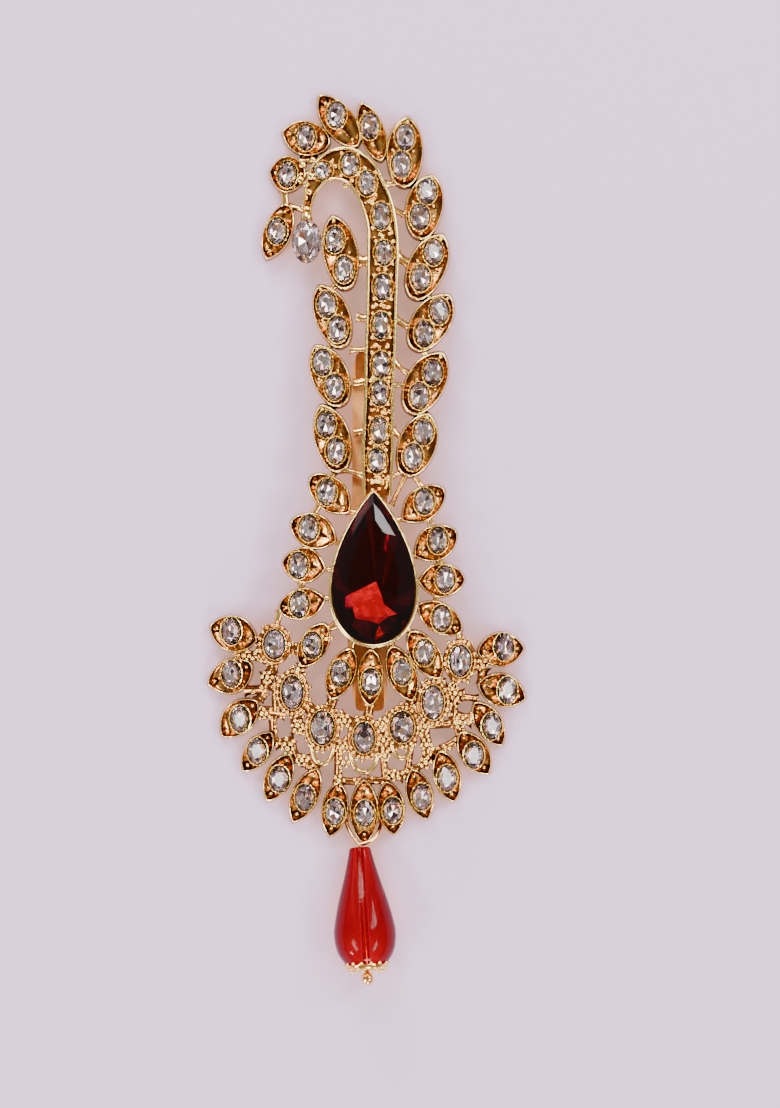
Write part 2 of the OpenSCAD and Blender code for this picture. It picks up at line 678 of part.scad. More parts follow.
// Head pin: a bent loop through the eye, a rod through the bead and a ball at its end.
// Corners of the loop: its bar behind the lowest leaf, the right leg, the apex, the left leg.
loop_path = [
    [-2.3, -38.4, 0.85], [1.5, -38.4, 0.85], [1.85, -38.8, 0.78], [1.82, -39.8, 0.55],
    [1.87, -40.4, 0.82], [1.55, -41.3, 1.55], [0.95, -42.3, 2.15], [-0.85, -42.95, 2.36],
    [-1.2, -42.95, 2.36], [-2.15, -41.7, 1.5], [-2.8, -40.3, 0.9], [-2.8, -39.6, 0.65],
    [-2.7, -38.7, 0.8],
];
wire_sides = 6;
function wire_ring(path, i) =
    let (
        n = len(path),
        ahead = path[(i + 1) % n] - path[i],
        behind = path[i] - path[(i + n - 1) % n],
        way = ahead / norm(ahead) + behind / norm(behind),
        sideways = cross(way, [0, 0, 1]),
        across = sideways / norm(sideways),
        upward = cross(across, way) / norm(way)
    )
    [for (k = [0 : wire_sides - 1])
        let (a = 360 * k / wire_sides) path[i] + wire_d / 2 * (cos(a) * across + sin(a) * upward)];
module closed_wire(path) {
    n = len(path);
    polyhedron(
        points = [for (i = [0 : n - 1]) each wire_ring(path, i)],
        faces = [
            for (i = [0 : n - 1]) for (k = [0 : wire_sides - 1])
                [
                    i * wire_sides + k, i * wire_sides + (k + 1) % wire_sides,
                    (i + 1) % n * wire_sides + (k + 1) % wire_sides, (i + 1) % n * wire_sides + k,
                ]
        ],
        convexity = 6
    );
}
ball_d = 1.9;
rod_over = 0.5;
module head_pin() {
    ball_at = bead_l + seat_gap + cap_t + seat_gap + ball_d / 2;
    color(gold) union() {
        closed_wire(loop_path);
        bead_frame() {
            translate([0, 0, -rod_over]) cylinder(d = wire_d, h = ball_at + rod_over, $fn = 16);
            translate([0, 0, ball_at]) sphere(d = ball_d, $fn = 24);
        }
    }
}

// Bar pin: a flat bar with a knuckle at its upper end, a needle and a hook that catches its point
knuckle_d = 2.4;
knuckle_w = 3.4;
knuckle_lift = 0.25;
pin_inset = 3;
needle_z = bar_top - bar_t - 1.35;
needle_l = bar_l - 7;
needle_point_l = 2;
needle_point_d = 0.3;
module back_pin() {
    half = bar_l / 2;
    color(gold) translate([bar_mid[0], bar_mid[1], 0]) union() {
        translate([0, 0, bar_top - bar_t]) linear_extrude(bar_t) {
            square([bar_w, bar_l - bar_w], center = true);
            for (side = [-1, 1]) translate([0, side * (half - bar_w / 2)]) circle(d = bar_w, $fn = 48);
        }
        translate([-knuckle_w / 2, half - pin_inset, needle_z + knuckle_lift]) rotate([0, 90, 0])
            cylinder(d = knuckle_d, h = knuckle_w, $fn = 32);
        translate([0, half - pin_inset, needle_z]) rotate([90, 0, 0]) {
            cylinder(d = needle_d, h = needle_l, $fn = 24);
            translate([0, 0, needle_l])
                cylinder(d1 = needle_d, d2 = needle_point_d, h = needle_point_l, $fn = 24);
        }
        translate([0, hook_inset - bar_l / 2, needle_z + hook_lift]) hook();
    }
}
// The hook is a band round the needle's point, open on one side
hook_d = 2.7;
hook_l = 2;
hook_inset = 4;
hook_lift = 0.1;
hook_room = 0.5;
hook_slot_z = -0.35;
module hook() {
    rotate([90, 0, 0]) difference() {
        cylinder(d = hook_d, h = hook_l, center = true, $fn = 32);
        cylinder(d = needle_d + hook_room, h = hook_l + 1, center = true, $fn = 24);
        translate([0, hook_slot_z, -hook_l]) cube([hook_d, needle_d + 0.1, 2 * hook_l]);
    }
}

casting();
red_stone();
crest_drop_stone();
collar_stone(0);  // collar_stone_1
collar_stone(1);  // collar_stone_2
collar_stone(2);  // collar_stone_3
collar_stone(3);  // collar_stone_4
collar_stone(4);  // collar_stone_5
collar_stone(5);  // collar_stone_6
collar_stone(6);  // collar_stone_7
stem_stones();
right_leaf_stones();
left_leaf_stones();
crest_stones();
halo_stones();
petal_stones();
rim_stones();
drop_bead();
bead_cap();
head_pin();
back_pin();
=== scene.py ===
import math
import random

import bmesh
import bpy
import numpy as np
from mathutils import Matrix, Vector


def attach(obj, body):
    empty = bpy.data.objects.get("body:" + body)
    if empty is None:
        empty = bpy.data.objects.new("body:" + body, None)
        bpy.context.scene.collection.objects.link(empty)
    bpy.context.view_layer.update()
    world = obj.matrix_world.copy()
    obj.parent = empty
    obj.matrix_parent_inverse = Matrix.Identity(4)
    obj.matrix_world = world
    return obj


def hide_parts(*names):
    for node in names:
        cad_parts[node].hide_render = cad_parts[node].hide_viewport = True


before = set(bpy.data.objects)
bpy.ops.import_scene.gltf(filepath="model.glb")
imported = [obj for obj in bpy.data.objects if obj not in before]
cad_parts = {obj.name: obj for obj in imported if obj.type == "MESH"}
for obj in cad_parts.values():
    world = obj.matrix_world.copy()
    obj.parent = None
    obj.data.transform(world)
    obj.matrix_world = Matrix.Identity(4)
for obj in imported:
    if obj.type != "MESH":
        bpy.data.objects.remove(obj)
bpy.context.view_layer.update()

MM = 0.001

# Shape values, in millimetres, as in the construction
DOME_H = 5.4
DOME_RX = 22.3
DOME_FOOT = 32.9
DOME_HEAD = 73.0
DOME_MID = (0.0, -10.4)
FLOOR_H = 0.7
BEZEL_H = 2.1
BAR_H = 0.6
STONE_W = 2.6
STONE_L = 3.6
SEAT_GAP = 0.1
STONE_FOOT = FLOOR_H + SEAT_GAP
PEAR_W = 11.6
PEAR_L = 21.0
PEAR_AT = (0.95, -4.3)

# Leaf tables. Columns: x, y of the root, x, y of the tip, width left and right of the axis as seen
# from the root, then x, y of each stone.
RIGHT_LEAVES = [
    [5.2, 48.9, 5.7, 59, 2.7, 2.4, 4.8, 52.2, 5.3, 56.1],
    [7.4, 41.6, 9.2, 50.8, 2.9, 2.3, 7.4, 44.8, 8.4, 48.5],
    [6.5, 33.2, 10.6, 42.4, 2.8, 2.5, 7.5, 36.2, 9.3, 39.9],
    [6.5, 26.1, 11.6, 33.9, 2.8, 2.5, 8, 28.4, 10.1, 31.6],
    [6, 17.2, 10.6, 25.8, 2.9, 2.6, 7.3, 19.7, 9.2, 23],
    [5.4, 8.5, 8.6, 17.3, 2.6, 2.7, 6.4, 11.2, 7.9, 14.7],
]
LEFT_LEAVES = [
    [-2.9, 34.5, -4.8, 45, 2.3, 2.6, -3.2, 37.4, -4.5, 41.6],
    [-3.4, 26.4, -6.7, 35.2, 2.2, 2.7, -4.1, 29, -5.6, 32.5],
    [-3.6, 18.2, -7.2, 26.8, 2.3, 2.8, -4.5, 20.9, -6.2, 24.4],
    [-3.8, 9, -6.4, 18.5, 2.2, 2.8, -4.3, 12, -5.7, 15.8],
]
CREST_LEAVES = [
    [-1.3, 54.7, -6.7, 62.1, 2.2, 2.2, -4.3, 59.2],
    [2, 52.6, -0.8, 61, 1.7, 1.9, 0.4, 57.6],
    [-5.2, 55.1, -11.9, 56.9, 2.5, 2.4, -8.6, 56.1],
    [-8.6, 50.8, -13.7, 51.2, 2.7, 2.5, -11.2, 50.9],
    [-11.1, 46.7, -14.1, 38.9, 2.1, 1.9, -12.6, 42.9],
]
HALO_LEAVES = [
    [-2.4, 3.4, -7.9, 8.5, 2.2, 2.4, -5.6, 6.3],
    [-4.2, -0.5, -10.6, 2.3, 2.5, 2.4, -8.1, 1.3],
    [-5.7, -4.3, -11.8, -3.4, 2.5, 2.5, -9.5, -3.9],
    [-5.7, -8.5, -12.3, -10, 2.2, 2.2, -9.4, -9.3],
    [4.9, 2.3, 10.8, 6.8, 2.4, 2.2, 8, 5],
    [6.6, -2.6, 12.5, 0.9, 2.5, 2.4, 9.9, -0.4],
    [7.1, -6.1, 13.7, -5.8, 2.4, 2.4, 10.9, -5.8],
    [7, -9.3, 13.2, -13.2, 2.2, 2, 10.4, -11.3],
]
PETAL_LEAVES = [
    [-5.7, -12, -9.2, -18, 2, 2, -7.6, -15],
    [-2.1, -15.4, -5, -22.6, 1.9, 2, -3.7, -18.9],
    [0.6, -15.5, 0.4, -23.5, 1.8, 1.8, 0.6, -20.1],
    [3.4, -15.1, 6.4, -22.8, 2, 2, 4.9, -18.7],
    [6, -13, 10.2, -19.7, 2.1, 2, 8, -16],
]
RIM_LEAVES = [
    [-15.3, -14.4, -22.1, -12.4, 2.6, 2.5, -19, -13.1],
    [-16, -17.7, -22.35, -20.6, 2.8, 2.1, -19, -19.1],
    [-15.3, -22.8, -20.4, -27.9, 2.1, 2.4, -17.8, -25.4],
    [-13.3, -27.2, -17.4, -32.8, 1.8, 1.8, -15.4, -29.9],
    [-10.8, -30.2, -14, -37, 1.9, 1.9, -12.3, -33.8],
    [-6.9, -32.2, -10.4, -40, 1.9, 1.9, -8.7, -36.4],
    [-3.9, -34.1, -5.2, -42, 1.9, 1.8, -4.5, -38.4],
    [-0.4, -33.7, -0.4, -43.1, 2, 2, -0.3, -38.6],
    [2.7, -34, 3.8, -41.7, 2.1, 1.8, 3.6, -38.2],
    [6.3, -32.3, 8.4, -39.6, 1.9, 1.8, 7.7, -36.3],
    [10.2, -29.7, 12.2, -37.1, 1.9, 1.9, 11.2, -33.7],
    [13, -27.2, 17.1, -33.2, 2, 2, 15, -30.5],
    [15, -23, 19, -29.2, 2, 1.8, 17.5, -26.4],
    [15.5, -20.4, 22.3, -22.6, 2.5, 2.2, 19.7, -21.4],
    [15.4, -15.9, 22.1, -15.5, 2.5, 2.4, 19.2, -15.3],
]
# Groups of leaves. Columns: name of the cups, start of the stones' names, rows, roundness exponents
# at the root and the tip, where 1 is round and 2 is a sharp point.
LEAF_GROUPS = [
    ["right_leaf_cups", "right_leaf", RIGHT_LEAVES, (0.9, 1.3)],
    ["left_leaf_cups", "left_leaf", LEFT_LEAVES, (0.9, 1.3)],
    ["crest_leaf_cups", "crest", CREST_LEAVES, (1.1, 1.5)],
    ["halo_leaf_cups", "halo", HALO_LEAVES, (1.8, 1.2)],
    ["petal_leaf_cups", "petal", PETAL_LEAVES, (1.2, 1.5)],
    ["rim_leaf_cups", "rim", RIM_LEAVES, (1.4, 1.6)],
]

# Stem channel from its foot to its curl. Columns: x, y of the left wall, x, y of the right wall.
STEM_ROWS = [
    [-0.6, 5.8, 3.5, 5.8], [-0.7, 12.3, 3.8, 12.3], [-0.4, 19.3, 3.8, 19.3], [-0.3, 26.3, 4.1, 26.3],
    [-0.1, 33.2, 4.3, 33.2], [0, 40.3, 4.5, 40.3], [-0.1, 43.6, 4.2, 44.2], [-1, 46.6, 3.5, 47.3],
    [-2, 48.4, 2.4, 49.8], [-2.9, 49.5, 1, 52.6], [-4.1, 49.9, -1.8, 54.5], [-5.3, 49.8, -4.8, 54.4],
    [-6.4, 48.9, -7.6, 52.4], [-7.3, 47.4, -8.7, 49.1], [-7.8, 45.4, -9, 45.6],
]
# Stones along the channel. Columns: x, y, length.
STEM_SEATS = [
    [1.4, 10.7, 3.4], [1.7, 14.9, 3.6], [1.8, 20.1, 3.5], [2, 24, 3.7], [2, 29.5, 3.7], [2.2, 34.9, 3.6],
    [2.4, 39.7, 3.4], [2, 44.9, 3.7], [0, 49.5, 3.4], [-2.4, 52.2, 3.3], [-6.2, 51.3, 2.6],
]
# Oval collar stones. Columns: x, y, width, length.
COLLAR_ROWS = [
    [-12.9, -14.9, 2.8, 3.9], [-10.4, -21.6, 2.8, 4.5], [-6.2, -26.5, 3.1, 4.6], [-0.4, -27.9, 2.8, 4.2],
    [4.9, -26.4, 3.1, 4.2], [9.2, -23, 2.8, 4.5], [13, -17.2, 2.8, 4.2],
]
# Ties from the stem to its leaves, and from leaf to leaf. Columns: x, y of each end, width.
STEM_TIES = [
    [2.6, 49.4, 4.4, 49.8, 1.2], [3.5, 46, 5.2, 45.2, 1], [4.1, 39.4, 6, 38.2, 1.6],
    [3.9, 30.6, 6.2, 29.2, 1.2], [3.8, 24.6, 5.6, 23, 0.9], [3.7, 21.2, 5.4, 21.2, 0.9],
    [3.5, 15.2, 5, 13.8, 1], [3.3, 8.4, 5.4, 9.4, 0.9], [6.4, 49.6, 7.6, 49.2, 1.2], [8, 42, 9, 41.4, 1.2],
    [8.2, 33.9, 9.2, 33.3, 1.2], [7.8, 26.2, 8.8, 25, 1.1], [7.4, 17.7, 8, 16.7, 1.1],
    [6.4, 9, 8, 6.6, 1.1], [0.2, 38.6, -1, 38.6, 1.8], [0.1, 30.6, -1.4, 30.8, 1.3],
    [-0.1, 26.2, -2.4, 26.2, 1], [-0.2, 21.8, -2, 21.6, 1.2], [-0.4, 14.8, -1.8, 14.6, 1.2],
    [-0.5, 8.6, -3.4, 9.4, 1], [-4.4, 35.3, -5.4, 34.6, 1.1], [-4.8, 26.9, -5.6, 26.2, 1.1],
    [-4.8, 18.7, -5.6, 18, 1.1], [-4.6, 9.1, -5.4, 8.2, 1.1], [-8, 50.8, -9.4, 50.8, 1.4],
    [-6.8, 53, -9.4, 52.8, 1.2], [-11.6, 48.6, -11.4, 46.2, 1.3], [-11, 46.4, -8.4, 45.6, 1],
]
# Ties round the red stone. Same columns.
HALO_TIES = [
    [-2.9, 3.6, -1.2, 3.4, 1], [-4.8, -0.4, -3.5, -0.9, 0.9], [-6.2, -4.3, -4.8, -4.5, 0.9],
    [-6.2, -8.5, -5, -8.6, 0.9], [-6.6, 4.7, -7.4, 3.3, 1.1], [-8.6, -0.7, -8.8, -1.9, 1.3],
    [-9.2, -6.1, -9.3, -7.5, 1.3], [5.2, 2.6, 3.9, 2.2, 0.9], [7, -2.6, 5.7, -2.7, 0.9],
    [7.5, -6.2, 6.4, -6.2, 0.9], [7.5, -9.6, 6.2, -9.1, 0.9], [8.6, 3.1, 9, 1.9, 1.2],
    [10.2, -1.8, 10.4, -3.6, 1.3], [9.8, -8, 9.6, -9.4, 1.3], [3.4, 4.4, 5.5, 8.8, 0.8],
    [-6.4, -13, -4.4, -12.2, 1.2], [-2.4, -16.3, -2, -14.2, 1.2], [0.6, -16, 0.8, -14.7, 1.2],
    [3.6, -15.7, 3.2, -14.1, 1.2], [6.4, -13.4, 5.3, -12.3, 1.1], [-12.1, -10.2, -12.8, -12.6, 1.2],
    [12.8, -13, 13, -14.8, 1.2],
]
# Bars of the pierced fan. Same columns.
FAN_BARS = [
    [-11.2, -15.4, -9.4, -15.6, 1.9], [11.4, -17.4, 9.8, -17.6, 1.8], [-15.5, -14.5, -14.3, -14.5, 1.8],
    [-18.6, -16.2, -14, -16.8, 1.6], [-17.2, -21.4, -14.4, -21.2, 1.5], [-13.2, -17.2, -13.4, -18.8, 1.8],
    [-12.9, -20, -11.7, -20.2, 1.7], [-13.8, -18.8, -14, -21.4, 2.2], [-14.4, -21.4, -15.3, -22.8, 1.6],
    [-12.8, -20.6, -12.7, -24.4, 1.2], [-15.8, -24.3, -11.4, -24.6, 1.8], [-13.2, -25, -12.9, -29, 1.3],
    [-9.8, -24.2, -9.4, -27.4, 2.2], [-9.4, -26.9, -8.1, -27, 1.3], [-12.9, -28.8, -10.1, -28.4, 1.6],
    [-9, -23.1, -7.5, -24.5, 2.1], [-10.5, -28.6, -9.8, -30.8, 1.3], [-10.4, -30.8, -8.2, -31.4, 1.9],
    [-8.6, -31.4, -7.1, -32.8, 1.7], [-3.9, -28.6, -4, -34.4, 1.3], [-4.8, -28.75, -2, -28.55, 1.7],
    [-4, -34, -0.8, -34.1, 1.3], [-4.1, -24.8, -1.9, -26.2, 1.8], [-4.8, -22.3, -5.4, -24.1, 1.7],
    [0.4, -23.2, -0.2, -25.5, 1.6], [6.3, -22.5, 5.7, -24.1, 1.6], [-9.1, -17.7, -9.7, -19.1, 1.6],
    [10.1, -19.5, 10, -20.7, 1.7], [2, -25.4, 2.3, -30.2, 2.1], [2.3, -29.8, 2.7, -34, 1.2],
    [2.6, -33, 5.2, -33.4, 1.6], [5, -33.3, 6.5, -32.5, 1.4], [5.7, -33, 6.35, -28.3, 1.1],
    [0, -33.9, 2.8, -33.9, 1.3], [6.5, -26.4, 8, -26.2, 1.3], [7.8, -25.6, 8.6, -31.4, 1.8],
    [8.3, -31.4, 6.7, -32.4, 1.3], [8.4, -29.9, 10.2, -29.9, 1.4], [8.2, -26.2, 12.4, -26, 1.3],
    [10.4, -29.7, 12.7, -28.4, 1.3], [12.2, -25.2, 14.8, -25.6, 2], [12.8, -25.8, 13.3, -27.8, 1.7],
    [14.2, -25.4, 15.5, -24.4, 1.4], [12.1, -22.2, 12.1, -25.4, 1.3], [10.7, -21.4, 13.4, -22.2, 2],
    [11.7, -21.3, 12.4, -19.5, 1.4], [13.2, -22.3, 15.6, -22.6, 1.2], [14.3, -16.9, 16.8, -18, 2.1],
    [16.4, -18.2, 16.2, -20.6, 1.7],
]
# Wire loops under three collars. Columns: x, y of the middle, half width, depth.
LOOP_ROWS = [
    [-6.2, -28.4, 1.6, 3.3], [-0.4, -30, 1.9, 2.8], [4.9, -28.2, 1.5, 2.6],
]
CREST_DROP_AT = (-8.4, 41.3)
CREST_DROP_SIZE = (4.2, 6.2)

# Upper end of the bead's axis, and the angles in degrees by which it leans down and turns aside
BEAD_TOP = (-1.0, -43.4, 2.5)
BEAD_LEAN = 9.0
BEAD_SLEW = 3.5
BEAD_D = 8.7
BEAD_L = 16.8
BEAD_HOLE_D = 1.0
WIRE_D = 0.55
# Corners of the head pin's loop. Columns: x, y, z.
LOOP_PATH = [
    [-2.3, -38.4, 0.85], [1.5, -38.4, 0.85], [1.85, -38.8, 0.78], [1.82, -39.8, 0.55], [1.87, -40.4, 0.82],
    [1.55, -41.3, 1.55], [0.95, -42.3, 2.15], [-0.85, -42.95, 2.36], [-1.2, -42.95, 2.36],
    [-2.15, -41.7, 1.5], [-2.8, -40.3, 0.9], [-2.8, -39.6, 0.65], [-2.7, -38.7, 0.8],
]
# Profile of the bead. Columns: share of its length, share of its largest radius.
BEAD_ROWS = [
    [0, 0.34], [0.08, 0.4], [0.18, 0.5], [0.3, 0.63], [0.42, 0.77], [0.54, 0.89], [0.64, 0.97], [0.71, 1],
    [0.79, 0.98], [0.87, 0.9], [0.94, 0.74], [1, 0.5],
]

# The photograph's scale and size, and the pixel of the part's origin, for the camera
PX_MM = 0.14
PHOTO_W, PHOTO_H = 780, 1108
PHOTO_ORIGIN = (367.0, 537.5)
LENS_MM = 135.0
SENSOR_MM = 36.0

BALL_LEVELS = 2
# A ball is painted fully lit from this share of its radius upwards, and this dim at its foot, in painted
# shade
BALL_PAINTED_LIT_FROM = 0.75
BALL_PAINTED_FOOT_SHADE = 0.05
# Vertices of a piece that lie closer than this are one
MERGE = 0.004
# Angles in degrees past which an edge stays sharp
CUP_CREASE = 40.0
WALL_CREASE = 50.0
GRAIN_CREASE = 60.0


def reach(y):
    """Reach of the dome along Y from its middle, on the side where y is."""
    return np.where(np.asarray(y) < DOME_MID[1], DOME_FOOT, DOME_HEAD)


def dome(x, y):
    """Height of the dome over the surface."""
    x, y = np.asarray(x, float), np.asarray(y, float)
    ratio = ((x - DOME_MID[0]) / DOME_RX) ** 2 + ((y - DOME_MID[1]) / reach(y)) ** 2
    return np.maximum(0.0, DOME_H * (1 - ratio))


def on_dome(points, h):
    """Points in plan, lifted h over the dome. h is one number or one for each point."""
    p = np.asarray(points, float)
    return np.stack([p[..., 0], p[..., 1], dome(p[..., 0], p[..., 1]) + h], axis=-1)


def on_plane(c, points, h):
    """Points in plan, lifted h over the plane that touches the dome at c."""
    p = np.asarray(points, float)
    z0 = float(dome(*c))
    slope = [0.0, 0.0]
    if z0 > 0:
        slope[0] = -2 * DOME_H * (c[0] - DOME_MID[0]) / DOME_RX**2
        slope[1] = -2 * DOME_H * (c[1] - DOME_MID[1]) / float(reach(c[1])) ** 2
    z = z0 + slope[0] * (p[..., 0] - c[0]) + slope[1] * (p[..., 1] - c[1]) + h
    return np.stack([p[..., 0], p[..., 1], z], axis=-1)


def level(points, z):
    """Points in plan, put at height z. z is one number or one for each point."""
    return np.column_stack([points, np.full(len(points), z)])


def circle(n, turn=0.0):
    """Points round a unit circle. turn moves the first one on by a share of a step."""
    angles = 2 * math.pi * (np.arange(n) + turn) / n
    return np.stack([np.cos(angles), np.sin(angles)], axis=-1)


def on_circle(c, radii, turn):
    """The point of an oval in plan that lies turn of the way round it."""
    angle = 2 * math.pi * turn
    return c[0] + radii[0] * math.cos(angle), c[1] + radii[1] * math.sin(angle)


def span(x0, y0, x1, y1):
    """Start of a line in plan, the way to its end, its length, and the unit direction to its left."""
    way = np.array([x1 - x0, y1 - y0])
    length = np.linalg.norm(way)
    return np.array([x0, y0]), way, length, np.array([-way[1], way[0]]) / length


class Shell:
    """Vertices, faces and a wear value for each vertex: 0 is a dark recess, patina with painted shade, 1 a
    polished edge or a painted highlight.
    """

    def __init__(self):
        self.points, self.faces, self.marks, self.wear, self.count = [], [], [], [], 0

    def add(self, points, faces, wear):
        """Adds a mesh. wear is one value, or one for each vertex. Its faces take the first material."""
        points = np.asarray(points, float).reshape(-1, 3)
        wear = np.broadcast_to(np.asarray(wear, float), len(points))
        self.points.append(points)
        self.wear.append(wear)
        self.faces += [tuple(i + self.count for i in f) for f in faces]
        self.marks += [0] * len(faces)
        self.count += len(points)

    def cut_stone(self, points, crown, foil, marks):
        """A cut stone: the crown takes the first material, each foiled facet the one that marks names."""
        self.add(points, crown + foil, 1.0)
        self.marks[len(self.marks) - len(foil):] = marks

    def rings(self, rings, wear=None, ends="cap", section=None):
        """A skin over rings of points. ends is cap, loop or open. wear is one value, or one a ring.
        In its place, section may hold one value for each point round a ring."""
        rings = np.asarray(rings, float)
        r, n = rings.shape[:2]
        faces = []
        for i in range(r if ends == "loop" else r - 1):
            j = (i + 1) % r
            for k in range(n):
                m = (k + 1) % n
                faces.append((i * n + k, i * n + m, j * n + m, j * n + k))
        if ends == "cap":
            faces.append(tuple(range(n - 1, -1, -1)))
            faces.append(tuple((r - 1) * n + k for k in range(n)))
        if section is None:
            spread = np.repeat(np.broadcast_to(np.asarray(wear, float), r), n)
        else:
            spread = np.tile(section, r)
        self.add(rings, faces, spread)

    def ball(self, centre, radius, wear, squash=1.0):
        """A ball with painted light: brightest on top, in painted shade where it meets the metal under it.
        """
        # Painted light and shade by height on the ball
        shade = wear * np.clip(BALL_POINTS[:, 2] / BALL_PAINTED_LIT_FROM, BALL_PAINTED_FOOT_SHADE, 1.0)
        self.add(BALL_POINTS * (radius, radius, radius * squash) + centre, BALL_FACES, shade)


def icosphere(levels):
    """The unit ball of triangles that all small balls are."""
    bm = bmesh.new()
    bmesh.ops.create_icosphere(bm, subdivisions=levels, radius=1.0)
    points = np.array([v.co[:] for v in bm.verts])
    faces = [tuple(v.index for v in f.verts) for f in bm.faces]
    bm.free()
    return points, faces


BALL_POINTS, BALL_FACES = icosphere(BALL_LEVELS)
rng = random.Random(7)


def draw(limits):
    """A random value between two limits."""
    return rng.uniform(*limits)


def add_object(name, data, place=(0, 0, 0)):
    obj = bpy.data.objects.new(name, data)
    bpy.context.scene.collection.objects.link(obj)
    obj.location = place
    return obj


def make_piece(name, fill, materials, nodes, slot, crease, *values):
    shell = Shell()
    fill(shell, *values)
    mesh = bpy.data.meshes.new(name)
    mesh.from_pydata((np.vstack(shell.points) * MM).tolist(), [], shell.faces)
    mesh.polygons.foreach_set("material_index", shell.marks)
    # Wear and shade value for each vertex: wear and patina, with painted shade in recesses and painted
    # highlights on tops
    wear = mesh.attributes.new("wear", "FLOAT", "POINT")
    wear.data.foreach_set("value", np.concatenate(shell.wear).astype(np.float32))
    bm = bmesh.new()
    bm.from_mesh(mesh)
    bmesh.ops.remove_doubles(bm, verts=bm.verts, dist=MERGE * MM)
    bmesh.ops.recalc_face_normals(bm, faces=bm.faces)
    bm.to_mesh(mesh)
    bm.free()
    for material in materials:
        mesh.materials.append(material)
    if crease:
        mesh.shade_smooth()
        mesh.set_sharp_from_angle(angle=math.radians(crease))
    else:
        mesh.shade_flat()
    obj = add_object(name, mesh)
    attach(obj, "root")
    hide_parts(*nodes)


def cast_piece(name, fill, material, crease, *values):
    """A piece of the casting's metal."""
    make_piece(name, fill, [material], ["casting"], "gold_plate", crease, *values)


# Materials

# Spatial frequencies of the noise, per metre
CLOUD_SCALE = 800.0
LUMP_SCALE = 650.0
GRAIN_SCALE = 2800.0
# How far the cloud moves the wear and shade value of gold that uses it, and what it is added to on other
# gold
CLOUD_SPREAD = 0.3
PLAIN_WEAR = 0.15
# Depth of the lumps of a cast surface, and depth and strength of its fine grain
LUMP_DEPTH = 0.2 * MM
GRAIN_DEPTH = 0.08 * MM
GRAIN_STRENGTH = 0.3
GOLD_ROUGHNESS = 0.16
FOIL_ROUGHNESS = 0.08
# Brightness of a foil where its cloud is dark, and the cloud's values there and where it is bright
FOIL_DIM = 0.7
FOIL_CLOUD = (0.4, 0.6)


def new_material(name):
    """A material, its node tree and its shader."""
    material = bpy.data.materials.new(name)
    material.use_nodes = True
    return material, material.node_tree, material.node_tree.nodes["Principled BSDF"]


def settings(node, values):
    """Sets a node's own sockets, each by its name."""
    for name, value in values.items():
        node.inputs[name].default_value = value


def wear_value(tree):
    node = tree.nodes.new("ShaderNodeAttribute")
    node.attribute_name = "wear"
    return node.outputs["Fac"]


def noise(tree, scale, detail):
    """A noise that stays with the object."""
    node = tree.nodes.new("ShaderNodeTexNoise")
    settings(node, {"Scale": scale, "Detail": detail})
    tree.links.new(tree.nodes.new("ShaderNodeTexCoord").outputs["Object"], node.inputs["Vector"])
    return node.outputs["Fac"]


def ramp(tree, value, stops):
    """Colour by value. Each stop is a value and its colour."""
    node = tree.nodes.new("ShaderNodeValToRGB")
    tree.links.new(value, node.inputs["Fac"])
    while len(node.color_ramp.elements) < len(stops):
        node.color_ramp.elements.new(0.5)
    for element, (at, colour) in zip(node.color_ramp.elements, stops):
        element.position = at
        element.color = (*colour, 1)
    return node.outputs["Color"]


def arithmetic(tree, kind, *values):
    """The result of a math node. Each value is a number or another node's output."""
    node = tree.nodes.new("ShaderNodeMath")
    node.operation = kind
    for socket, value in zip(node.inputs, values):
        if isinstance(value, (int, float)):
            socket.default_value = value
        else:
            tree.links.new(value, socket)
    return node.outputs[0]


def bump(tree, height, strength, depth, under=None):
    """Normal of a bumpy surface, on top of the bumps whose normal is under."""
    node = tree.nodes.new("ShaderNodeBump")
    settings(node, {"Strength": strength, "Distance": depth})
    tree.links.new(height, node.inputs["Height"])
    if under is not None:
        tree.links.new(under, node.inputs["Normal"])
    return node.outputs["Normal"]


def gold_material(name, stops, lumps, uses_wear_and_shade=True, roughness=GOLD_ROUGHNESS):
    """Cast gold plate with the lumps of a cast surface. Gold that uses its wear value is darker in its
    recesses, patina with painted shade, and bright on its polished edges."""
    material, tree, shader = new_material(name)
    cloud = noise(tree, CLOUD_SCALE, 3.0)
    if uses_wear_and_shade:
        spread = arithmetic(tree, "MULTIPLY_ADD", cloud, 2 * CLOUD_SPREAD, -CLOUD_SPREAD)
        mix = arithmetic(tree, "ADD", wear_value(tree), spread)
    else:
        mix = arithmetic(tree, "ADD", cloud, PLAIN_WEAR)
    tree.links.new(ramp(tree, mix, stops), shader.inputs["Base Color"])
    settings(shader, {"Metallic": 1.0, "Roughness": roughness})
    lumpy = bump(tree, noise(tree, LUMP_SCALE, 2.0), lumps, LUMP_DEPTH)
    grainy = bump(tree, noise(tree, GRAIN_SCALE, 2.0), GRAIN_STRENGTH, GRAIN_DEPTH, under=lumpy)
    tree.links.new(grainy, shader.inputs["Normal"])
    return material


def glass_material(name, colour, ior):
    material, _, shader = new_material(name)
    settings(shader, {"Base Color": (*colour, 1), "Transmission Weight": 1, "IOR": ior, "Roughness": 0})
    return material


def foil_material(name, colour):
    """The foiled back of a stone, a mirror with a faint cloud."""
    material, tree, shader = new_material(name)
    dim = tuple(channel * FOIL_DIM for channel in colour)
    cloud = noise(tree, CLOUD_SCALE, 1.0)
    tree.links.new(ramp(tree, cloud, list(zip(FOIL_CLOUD, (dim, colour)))), shader.inputs["Base Color"])
    settings(shader, {"Metallic": 1.0, "Roughness": FOIL_ROUGHNESS})
    return material
